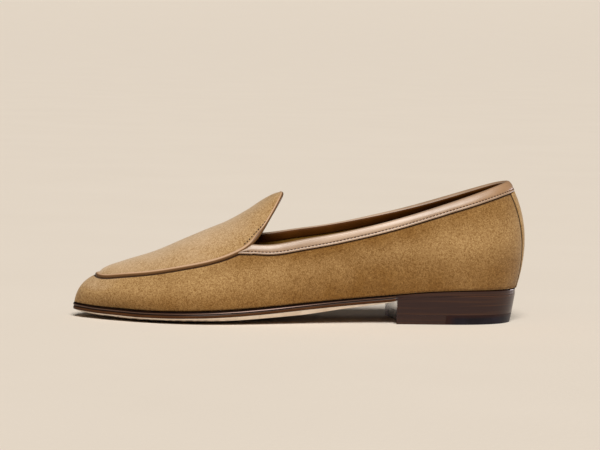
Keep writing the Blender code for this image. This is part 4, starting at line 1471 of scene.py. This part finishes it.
class LOAFER_OT_make_binding(bpy.types.Operator):
    """Strip folded over the topline"""

    bl_idname = "loafer.make_binding"
    bl_label = "Make Binding"
    bl_options = {"REGISTER", "UNDO"}

    def execute(self, context):
        front = np.linspace(BINDING_FRONT, 1, FRONT_RIBS + 1)[:-1]
        reach = np.concatenate([front, np.linspace(BEHIND_CORNER, 2, QUARTER_RIBS + 1)])
        inner = binding_rings(INNER, reach[:-1])[::-1]
        rings = np.concatenate([binding_rings(OUTER, reach), inner])
        corner = np.arange(rings.shape[1])
        station = rings[:, :1, 0]
        # The tone mark: darker in the stitch channel, painted shade towards the heel's back,
        # painted highlight along the middle
        tone = np.zeros(rings.shape[:2])
        tone[:, CHANNEL] = CHANNEL_TONES
        back_shade = BACK_SHADE_TONE * ease(station, BACK_SHADE_FROM, 0)
        tone = np.minimum(tone, back_shade * np.isin(corner, UPPER_LEAF))
        middle_highlight = ease(station, *MIDDLE_HIGHLIGHT[:2]) * (1 - ease(station, *MIDDLE_HIGHLIGHT[2:]))
        tone = np.where(tone == 0, MIDDLE_HIGHLIGHT_TONE * middle_highlight, tone)
        inward = np.isin(corner, INWARD_FACE).astype(int)
        mesh = swept("collar_binding", rings, inward, {"tone": tone})
        finishes = [smooth_leather, turned_leather]
        made("binding", mesh, finishes, "collar_binding")
        return {"FINISHED"}


# The back strip

STRIP_GAP = 0.1
STRIP_ROWS, STRIP_COLUMNS = 60, 33
STRIP_ROUNDING = 0.5  # radius of its upper edges
STRIP_THINNED = 0.25  # share of its thickness left by the sole
STRIP_FULL = 0.7  # share of the way up where it has its whole thickness
RAISED_EDGE = 0.6  # the strip's outer face counted further from the seam's dark line


class LOAFER_OT_make_strip(bpy.types.Operator):
    """Strip over the seam of the heel"""

    bl_idname = "loafer.make_strip"
    bl_label = "Make Back Strip"
    bl_options = {"REGISTER", "UNDO"}

    def execute(self, context):
        top = BINDING_LEAF[0].height + GAP
        length = wall_height(OUTER, np.array([2.0]))[0]
        share = np.linspace(0, 1, STRIP_ROWS)[:, None]
        across = np.linspace(-1, 1, STRIP_COLUMNS)[None, :]
        half_width = strip_half_width(share)
        reach = 2 - half_width * np.abs(across) / EDGE_LINE[OUTER].back
        below = np.broadcast_to(length - GAP + (top - length + GAP) * share, reach.shape)
        edge = half_width * (1 - np.abs(across))
        slope = np.clip(1 - edge / STRIP_ROUNDING, 0, 1)
        drop = STRIP_ROUNDING * (1 - np.sqrt(1 - slope**2)) / mm("strip")
        thickness = STRIP_THINNED + (1 - STRIP_THINNED) * ease(share, 0, STRIP_FULL)
        face = STRIP_GAP + mm("strip") * thickness * (1 - drop)
        layers = []
        for out in (face, np.full_like(edge, STRIP_GAP)):
            outer, inner = (on_wall(side, reach, below, out) for side in SIDES)
            layers.append(np.where(across[..., None] <= 0, outer, inner))
        rim = np.zeros(len(rim_of(layers[0])))
        # Painted shadow lines along the strip's edges
        seam = [edge.ravel() + RAISED_EDGE, edge.ravel(), rim + RAISED_EDGE, rim]
        mesh = plate("back_strip", layers, marks={"seam": np.concatenate(seam)})
        made("suede_strip", mesh, [suede], "back_strip")
        return {"FINISHED"}


# The sole and the insole

SOLE_FINISHES = (inked_edge, bare_bevel, tread_leather, rubbed_bead, stacked_leather, inked_ledge)
LEDGE_STEPS = 3  # the steps of the edge that go on over the heel
PLAIN_OUT = -0.06  # the other steps there, dressed plain as part of the heel
PLAIN_FROM, PLAIN_TO = HEEL_BREAST + 4, HEEL_BREAST - 4
BEAD_HIGHLIGHT_AT, BEAD_HIGHLIGHT_WIDTH = 160.0, 28.0  # station where the bead's painted highlight is brightest
BEAD_HIGHLIGHT_LEAST = 0.08
INSOLE_CLEARANCE = 0.5
INSOLE_EDGE = ((1.2, 0.0), (0.4, 0.12), (0.0, 0.6))  # inset and drop of its rounded edge


def between(sides, across):
    """Rows of points from the outer side of an outline to the inner."""
    mix = ((1 + across) / 2)[None, :, None]
    return sides[0][:, None] * (1 - mix) + sides[1][:, None] * mix


def sole_grid(out, height):
    """A grid over the sole's outline, moved outwards, at heights given by station and across."""
    share = np.linspace(0, 1, SOLE_ROWS + 1)
    closer_at_ends = (1 - np.cos(share * np.pi)) / 2
    share = (share + closer_at_ends) / 2
    sides = []
    for side in SIDES:
        station = FEATHER_LINE.at(side, share)[0][:, 0]
        sides.append(FEATHER_LINE.at(side, share, out(station))[0])
    across = np.linspace(-1, 1, SOLE_COLUMNS + 1)
    plan = between(sides, across)
    heights = height(plan[..., 0], np.broadcast_to(across, plan.shape[:2]))
    grid = np.concatenate([plan, heights[..., None]], axis=-1)
    for end in (0, -1):
        grid[end] = grid[end].mean(axis=0)
    return grid


def seat(station, across):
    """The top of the outsole, hollowed a little under the ball."""
    hollow = along(SOLE, "dish", station) * (1 - across**2)
    return along(SOLE, "rim", station) - GAP - hollow


def tread(station, across):
    """The underside of the outsole: a flat spot at the ball that rounds up to the bevel."""
    middle = along(SOLE, "tread", station)
    edge = along(SOLE, "edge", station)
    side = along(SOLE, "rim", station) - GAP - edge - along(SOLE, "bevel", station)
    turn = np.maximum(np.abs(across) - FLAT_SHARE, 0) / (1 - FLAT_SHARE)
    return middle + np.maximum(side - middle, 0) * turn**2


def over_heel(station):
    """The share in which the sole's edge is dressed plain, as part of the heel."""
    return ease(station, PLAIN_FROM, PLAIN_TO)


def edge_height(station, across, drop):
    """A level of the dressed edge, which is lower over the heel."""
    return seat(station, across) - drop * along(SOLE, "edge", station) / SOLE_EDGE


def edge_layer(step, on_ledge):
    """A level of the dressed edge."""

    def out(station):
        plain = step.out if on_ledge else PLAIN_OUT
        dressed = step.out + (plain - step.out) * over_heel(station)
        return along(SOLE, "margin", station) + dressed

    return sole_grid(out, lambda station, across: edge_height(station, across, step.drop))


def bevel_layer(share):
    """A level of the bevel, from the dressed edge at 0 to the tread at 1."""

    def out(station):
        inset = SOLE_STEPS[-1].out * (1 - share) - along(SOLE, "bevel_run", station) * share
        return along(SOLE, "margin", station) + inset

    def height(station, across):
        rim = np.ones_like(across)
        edge = edge_height(station, rim, SOLE_EDGE)
        return edge + (tread(station, rim) - edge) * share

    return sole_grid(out, tread if share == 1 else height)


def edge_tones(layers):
    """The tone of the sole's side round each of its layers: painted shadow on the ledge and low on
    the bevel by the toe, a painted highlight on the bead, darker in the groove.
    """
    rows = []
    for layer, step in zip(layers, SOLE_STEPS):
        station = rim_of(layer)[:, 0]
        tone = np.full_like(station, step.tone)
        if step.tone > 0:
            tone *= BEAD_HIGHLIGHT_LEAST + (1 - BEAD_HIGHLIGHT_LEAST) * bell(station - BEAD_HIGHLIGHT_AT, BEAD_HIGHLIGHT_WIDTH)
        if len(rows) >= LEDGE_STEPS:
            tone *= 1 - over_heel(station)
        rows.append(tone)
    # Painted shadow low on the bevel by the toe
    for layer, tone in zip(layers[len(SOLE_STEPS) :], BEVEL_TONES):
        station = rim_of(layer)[:, 0]
        rows.append(tone * ease(station, PAINTED_SHADOW_FROM, PAINTED_SHADOW_FULL) * (1 - over_heel(station)))
    return rows


class LOAFER_OT_make_sole(bpy.types.Operator):
    """Leather sole with its dressed edge"""

    bl_idname = "loafer.make_sole"
    bl_label = "Make Sole"
    bl_options = {"REGISTER", "UNDO"}

    def execute(self, context):
        layers = [edge_layer(step, i < LEDGE_STEPS) for i, step in enumerate(SOLE_STEPS)]
        layers += [bevel_layer(share) for share in BEVEL_SHARES]
        number = {fill.__name__: i for i, fill in enumerate(SOLE_FINISHES)}
        zones = [number[step.coat] for step in SOLE_STEPS]
        zones += [number["bare_bevel"]] * len(BEVEL_SHARES) + [number["tread_leather"]]
        mesh = plate("outsole", layers, zones, {"tone": rim_marks(layers, edge_tones(layers))})
        dressed = (number["inked_edge"], number["rubbed_bead"])
        for side in mesh.polygons:
            station = HALF_LENGTH - side.center.x / MM
            if side.material_index in dressed and station < HEEL_BREAST:
                side.material_index = number["stacked_leather"]
        made("leather_sole", mesh, SOLE_FINISHES, "outsole")
        return {"FINISHED"}


def insole_layer(inset, lift):
    """A level of the insole, set in from the wall's inside and lifted from the outsole."""

    def out(station):
        return np.full_like(station, -(WALL + INSOLE_CLEARANCE + inset))

    return sole_grid(out, lambda station, across: seat(station, across) + GAP + lift)


class LOAFER_OT_make_insole(bpy.types.Operator):
    """Sock over the insole"""

    bl_idname = "loafer.make_insole"
    bl_label = "Make Insole"
    bl_options = {"REGISTER", "UNDO"}

    def execute(self, context):
        layers = [insole_layer(inset, mm("insole") - drop) for inset, drop in INSOLE_EDGE]
        layers.append(insole_layer(0.0, 0.0))
        made("sock", plate("insole", layers), [sock_leather], "insole")
        return {"FINISHED"}


# The heel

HEEL_TAPER_LENGTH = 0.038  # share of the heel's length lost at the back by the floor
HEEL_TAPER_WIDTH = 0.05  # share of its width lost by the floor
BREAST_HOLLOW = 2.5
HEEL_COLUMNS = 24
HEEL_INSET = 0.12  # the heel's side behind the sole's
HEEL_JOINT = 0.05  # between the pieces of the heel, and under the sole
HEEL_EDGE = 0.06  # chamfer of each block
WARM_LINE = 0.7  # height of the worn line at the top of the block
WARM_FROM, WARM_TO = 50.0, 38.0  # stations over which that line fades in
TOP_LINE = 2.2  # height at the top of the rubber that takes the heel's stain
STAINED_OVER = 6.0  # distance behind its front over which the rubber is stained
UPPER_EDGE = (1, 1, 0, 0, 0)  # the share of its upper edge's tone that each level has
CRISP_ANGLE = 35.0  # degrees
FORWARD = -0.6  # faces that look further forward than this belong to the breast


def heel_grid(front, back, height, inset=0.0):
    """A grid over the heel's outline between two stations, tapered towards the floor."""
    sides = []
    for side in SIDES:
        start = FEATHER_LINE.share_at(side, front)
        end = FEATHER_LINE.share_at(side, back) if back else 1.0
        share = start + (end - start) * np.linspace(0, 1, HEEL_ROWS + 1)
        station = FEATHER_LINE.at(side, share)[0][:, 0]
        margin = along(SOLE, "margin", station) - HEEL_INSET - inset
        sides.append(FEATHER_LINE.at(side, share, margin)[0])
    across = np.linspace(-1, 1, HEEL_COLUMNS + 1)
    plan = between(sides, across)
    plan[0, :, 0] -= inset
    if back:
        plan[-1, :, 0] += inset
    else:
        plan[-1] = plan[-1].mean(axis=0)
    if front == HEEL_BREAST:
        fade = np.linspace(1, 0, HEEL_ROWS + 1)[:, None] ** 3
        plan[..., 0] -= BREAST_HOLLOW * fade * (1 - across**2)
    heights = height(plan[..., 0])
    taper = np.clip(1 - heights / along(SOLE, "tread", HEEL_BREAST), 0, 1)
    plan[..., 0] = HEEL_BREAST - (HEEL_BREAST - plan[..., 0]) * (1 - HEEL_TAPER_LENGTH * taper)
    plan[..., 1] *= 1 - HEEL_TAPER_WIDTH * taper
    return np.concatenate([plan, heights[..., None]], axis=-1)


def level(height):
    return lambda station: np.full_like(station, height)


def under_sole(drop):
    """A level that follows the underside of the sole."""
    lowered = HEEL_JOINT + drop
    return lambda station: along(SOLE, "tread", np.minimum(station, HEEL_BREAST)) - lowered


def make_block(name, node, layers, tones, side, breast):
    """A block of the heel with crisp edges and a finish of its own on its forward faces."""
    mesh = plate(name, layers, marks={"tone": rim_marks(layers, tones)})
    mesh.set_sharp_from_angle(angle=np.radians(CRISP_ANGLE))
    for face in mesh.polygons:
        face.material_index = 1 if face.normal.x < FORWARD else 0
    made(name, mesh, [side, breast], node)


def top_piece_layers(front, back):
    """Levels of a piece of the walking face."""
    top = mm("top_piece")
    return [
        heel_grid(front, back, level(top), HEEL_EDGE),
        heel_grid(front, back, level(top - HEEL_EDGE)),
        heel_grid(front, back, level(top - TOP_LINE)),
        heel_grid(front, back, level(2 * HEEL_EDGE)),
        heel_grid(front, back, level(0.0), 2 * HEEL_EDGE),
    ]


class LOAFER_OT_make_heel(bpy.types.Operator):
    """Stacked heel and its walking face"""

    bl_idname = "loafer.make_heel"
    bl_label = "Make Heel"
    bl_options = {"REGISTER", "UNDO"}

    def execute(self, context):
        foot = mm("top_piece") + HEEL_JOINT
        block = [
            heel_grid(HEEL_BREAST, None, under_sole(0.0), HEEL_EDGE),
            heel_grid(HEEL_BREAST, None, under_sole(HEEL_EDGE)),
            heel_grid(HEEL_BREAST, None, under_sole(WARM_LINE)),
            heel_grid(HEEL_BREAST, None, level(foot + HEEL_EDGE)),
            heel_grid(HEEL_BREAST, None, level(foot), HEEL_EDGE),
        ]
        stations = [rim_of(layer)[:, 0] for layer in block]
        tones = [share * ease(at, WARM_FROM, WARM_TO) for share, at in zip(UPPER_EDGE, stations)]
        make_block("stacked_heel", "heel_block", block, tones,
                   stacked_leather, polished_breast)
        front = top_piece_layers(HEEL_BREAST, RUBBER_FRONT)
        tones = [np.zeros(len(rim_of(layer))) for layer in front]
        make_block("heel_leather", "top_piece_leather", front, tones,
                   stacked_leather, polished_breast)
        rear = top_piece_layers(RUBBER_FRONT - HEEL_JOINT, None)
        stations = [rim_of(layer)[:, 0] for layer in rear]
        behind = [ease(at, RUBBER_FRONT - STAINED_OVER, RUBBER_FRONT) for at in stations]
        tones = [np.maximum(share, by_front) for share, by_front in zip(UPPER_EDGE, behind)]
        make_block("heel_rubber", "top_piece_rubber", rear, tones, rubber, rubber)
        return {"FINISHED"}


# The stitches

COLLAR_SHARE, TONGUE_SHARE = 0.74, 0.6  # length of a stitch as a share of the spacing
COLLAR_START = 0.955  # reach at which the collar's row begins, under the piping
TONGUE_ROW = range(-2, 18)  # points of the cord's path, counted from a corner up the tongue
TONGUE_ROW_PASSES = 12  # how often the row is smoothed
CHANNEL_LIFT, TONGUE_LIFT = 0.02, 0.15  # of the rows over the channel's floor and the tongue


def stitch_tree():
    """Stitches set at an even spacing along a rail, each lying along it."""
    tree, given, rail = tree_of("Stitch row", ("Spacing", "Length", "Thickness"))
    spaced = {"Curve": rail, "Length": given["Spacing"]}
    row = add(tree, "GeometryNodeResampleCurve", spaced, mode="LENGTH").outputs[0]
    run = tree.nodes.new("GeometryNodeInputTangent").outputs[0]
    axes = {"Primary Axis": run, "Secondary Axis": named(tree, "way", "FLOAT_VECTOR")}
    lie = add(tree, "FunctionNodeAxesToRotation", axes, primary_axis="X", secondary_axis="Z")
    ball = {"Segments": 8, "Rings": 5, "Radius": 0.5}
    bead = add(tree, "GeometryNodeMeshUVSphere", ball).outputs["Mesh"]
    stitch = sized(tree, bead, given["Length"], given["Thickness"], given["Thickness"])
    each = {"Points": row, "Instance": stitch, "Rotation": lie.outputs[0]}
    sewn = add(tree, "GeometryNodeInstanceOnPoints", each).outputs[0]
    end_tree(tree, sewn, given["Material"])
    return tree


def collar_rail():
    """The stitch row in the binding's channel, from one corner of the throat to the other."""
    reach = np.concatenate([np.linspace(COLLAR_START, 0.999, 8), np.linspace(1.001, 2, 240)])
    depth = GAP + mm("binding") - mm("channel_depth") + CHANNEL_LIFT
    rows, ways = {}, {}
    for side in SIDES:
        below = leaf_height(side, reach) - mm("channel_height")
        rows[side] = on_wall(side, reach, below, np.full_like(reach, depth))
        ways[side] = wall_normal(side, reach, 1 - below / wall_height(side, reach))
    return [np.concatenate([each[OUTER], each[INNER][-2::-1]]) for each in (rows, ways)]


def tongue_rail(side):
    """The short stitch row inside the piping, from a corner of the throat up the tongue."""
    places, run, ways = piping_path()
    inward = np.cross(ways, run)
    corner = np.argmin(np.linalg.norm(places - apron(1.0, side), axis=1))
    row = (corner + side * np.array(TONGUE_ROW)) % len(places)
    beside = places[row] + inward[row] * mm("tongue_inset")
    by_rim, by_edge = np.linspace(0.85, 1, 151), np.linspace(0.5, 1, 151)
    reach, across = np.meshgrid(by_rim, by_edge)
    face = apron(reach, side * across).reshape(-1, 3)
    nearest = np.argmin(np.linalg.norm(beside[:, None] - face[None], axis=2), axis=1)
    reach, across = reach.ravel()[nearest], across.ravel()[nearest]
    for _ in range(TONGUE_ROW_PASSES):
        for each in (reach, across):
            each[1:-1] = (each[:-2] + 2 * each[1:-1] + each[2:]) / 4
    ways = apron_normal(reach, side * across)
    return apron(reach, side * across) + ways * TONGUE_LIFT, ways


class LOAFER_OT_make_stitches(bpy.types.Operator):
    """Rows of the collar and the tongue"""

    bl_idname = "loafer.make_stitches"
    bl_label = "Make Stitches"
    bl_options = {"REGISTER", "UNDO"}

    def execute(self, context):
        sizes = context.scene.loafer_sizes
        collar, tongue = sizes.collar_stitch, sizes.tongue_stitch
        rows = (
            ("collar_stitches", collar_rail(), collar, COLLAR_SHARE, "smooth_leather"),
            ("tongue_stitches_outer", tongue_rail(OUTER), tongue, TONGUE_SHARE, "suede"),
            ("tongue_stitches_inner", tongue_rail(INNER), tongue, TONGUE_SHARE, "suede"),
        )
        tree = stitch_tree()
        for name, (points, ways), spacing, share, slot in rows:
            values = {"Spacing": spacing, "Length": spacing * share, "Thickness": sizes.thread}
            values["Material"] = finish(thread)
            made(name, grown(rail_mesh(name, points, ways, False), tree, values), [])
        return {"FINISHED"}


# The stage

FLOOR_CORNERS = 96
FLOOR_RINGS = (10, 14, 20, 28, 40, 56, 90)  # metres from the shoe
FLOOR_RISE = 2.6  # metres at the last ring
RIM_PLACE = Vector((0.9, 0.45, 0.1))  # metres
RIM_SIZE = (0.25, 0.18)


def lay_floor(scene):
    """A round floor that is flat about the shoe and rises far off."""
    turns = np.linspace(0, 2 * np.pi, FLOOR_CORNERS, endpoint=False)
    ring = np.column_stack([np.cos(turns), np.sin(turns), np.zeros(FLOOR_CORNERS)])
    nearest, farthest = FLOOR_RINGS[0], FLOOR_RINGS[-1]
    points = []
    for far in FLOOR_RINGS:
        rise = FLOOR_RISE * ((far - nearest) / (farthest - nearest)) ** 2
        points.append(ring * far + (0, 0, rise))
    here = np.arange(FLOOR_CORNERS)
    after = np.roll(here, -1)
    faces = [here.tolist()]
    for near in FLOOR_CORNERS * np.arange(len(FLOOR_RINGS) - 1):
        far = near + FLOOR_CORNERS
        faces += np.stack([here + near, here + far, after + far, after + near], axis=1).tolist()
    mesh = bpy.data.meshes.new("floor")
    mesh.from_pydata(np.concatenate(points).tolist(), [], faces)
    mesh.polygons.foreach_set("use_smooth", [False] + [True] * (len(faces) - 1))
    mesh.materials.append(finish(studio_floor))
    ground = bpy.data.objects.new("floor", mesh)
    scene.collection.objects.link(ground)


def set_lights(scene, studio, middle):
    """A wide overhead light, a gloss light behind the heel and the even light of the room."""
    world = bpy.data.worlds.new("studio")
    world.use_nodes = True
    air = world.node_tree.nodes["Background"]
    air.inputs["Color"].default_value = (*studio.room_colour, 1.0)
    air.inputs["Strength"].default_value = studio.room
    scene.world = world
    key = bpy.data.lights.new("key", "SUN")
    key.energy = studio.key
    key.angle = studio.spread
    key.color = studio.key_colour
    lamp = bpy.data.objects.new("key", key)
    lamp.rotation_euler = (studio.lean, -studio.turn, 0)
    scene.collection.objects.link(lamp)
    rim = bpy.data.lights.new("rim", "AREA")
    rim.energy = studio.rim
    rim.color = studio.rim_colour
    rim.shape = "RECTANGLE"
    rim.size, rim.size_y = RIM_SIZE
    strip = bpy.data.objects.new("rim", rim)
    strip.location = RIM_PLACE
    strip.rotation_euler = (middle - RIM_PLACE).to_track_quat("-Z", "Y").to_euler()
    strip.visible_diffuse = False
    scene.collection.objects.link(strip)


def set_camera(scene, studio, middle):
    """The camera at the picture's viewing angle."""
    camera = bpy.data.cameras.new("camera")
    camera.lens = studio.focal
    eye = bpy.data.objects.new("camera", camera)
    flat = np.cos(studio.elevation)
    aside, back = np.sin(studio.azimuth) * flat, -np.cos(studio.azimuth) * flat
    eye.location = middle + Vector((aside, back, np.sin(studio.elevation))) * studio.distance
    look = Vector((studio.aim_along, 0, studio.aim_height)) - eye.location
    eye.rotation_mode = "QUATERNION"
    eye.rotation_quaternion = look.to_track_quat("-Z", "Y") @ Quaternion((0, 0, 1), studio.roll)
    scene.collection.objects.link(eye)
    scene.camera = eye


class LOAFER_OT_make_stage(bpy.types.Operator):
    """Floor, lights and camera"""

    bl_idname = "loafer.make_stage"
    bl_label = "Make Stage"
    bl_options = {"REGISTER", "UNDO"}

    def execute(self, context):
        scene = context.scene
        studio = scene.loafer_studio
        middle = Vector((0, 0, studio.stand))
        lay_floor(scene)
        set_lights(scene, studio, middle)
        set_camera(scene, studio, middle)
        scene.view_settings.view_transform = "Standard"
        return {"FINISHED"}


# Panel and registration

OPERATORS = (
    LOAFER_OT_make_upper,
    LOAFER_OT_make_piping,
    LOAFER_OT_make_binding,
    LOAFER_OT_make_strip,
    LOAFER_OT_make_sole,
    LOAFER_OT_make_insole,
    LOAFER_OT_make_heel,
    LOAFER_OT_make_stitches,
    LOAFER_OT_make_stage,
)


class LOAFER_PT_panel(bpy.types.Panel):
    """Lists the steps of the make."""

    bl_label = "Loafer"
    bl_idname = "LOAFER_PT_panel"
    bl_space_type = "VIEW_3D"
    bl_region_type = "UI"
    bl_category = "Loafer"

    def draw(self, context):
        for operator in OPERATORS:
            self.layout.operator(operator.bl_idname)


SETTINGS = {
    "loafer_sizes": LoaferSizes,
    "loafer_colours": LoaferColours,
    "loafer_studio": LoaferStudio,
}
CLASSES = (*SETTINGS.values(), *OPERATORS, LOAFER_PT_panel)


def register():
    for each in CLASSES:
        bpy.utils.register_class(each)
    for name, group in SETTINGS.items():
        setattr(bpy.types.Scene, name, bpy.props.PointerProperty(type=group))


def unregister():
    for name in SETTINGS:
        delattr(bpy.types.Scene, name)
    for each in reversed(CLASSES):
        bpy.utils.unregister_class(each)


def clear_start_up():
    """Removes the cube, camera and light that a new file opens with."""
    for old in list(bpy.data.objects):
        if old.type in {"CAMERA", "LIGHT"} or old.name == "Cube":
            bpy.data.objects.remove(old, do_unlink=True)


def main():
    clear_start_up()
    register()
    for operator in OPERATORS:
        word = operator.bl_idname.split(".")[1]
        getattr(bpy.ops.loafer, word)()
    bpy.context.view_layer.update()


if __name__ == "__main__":
    main()
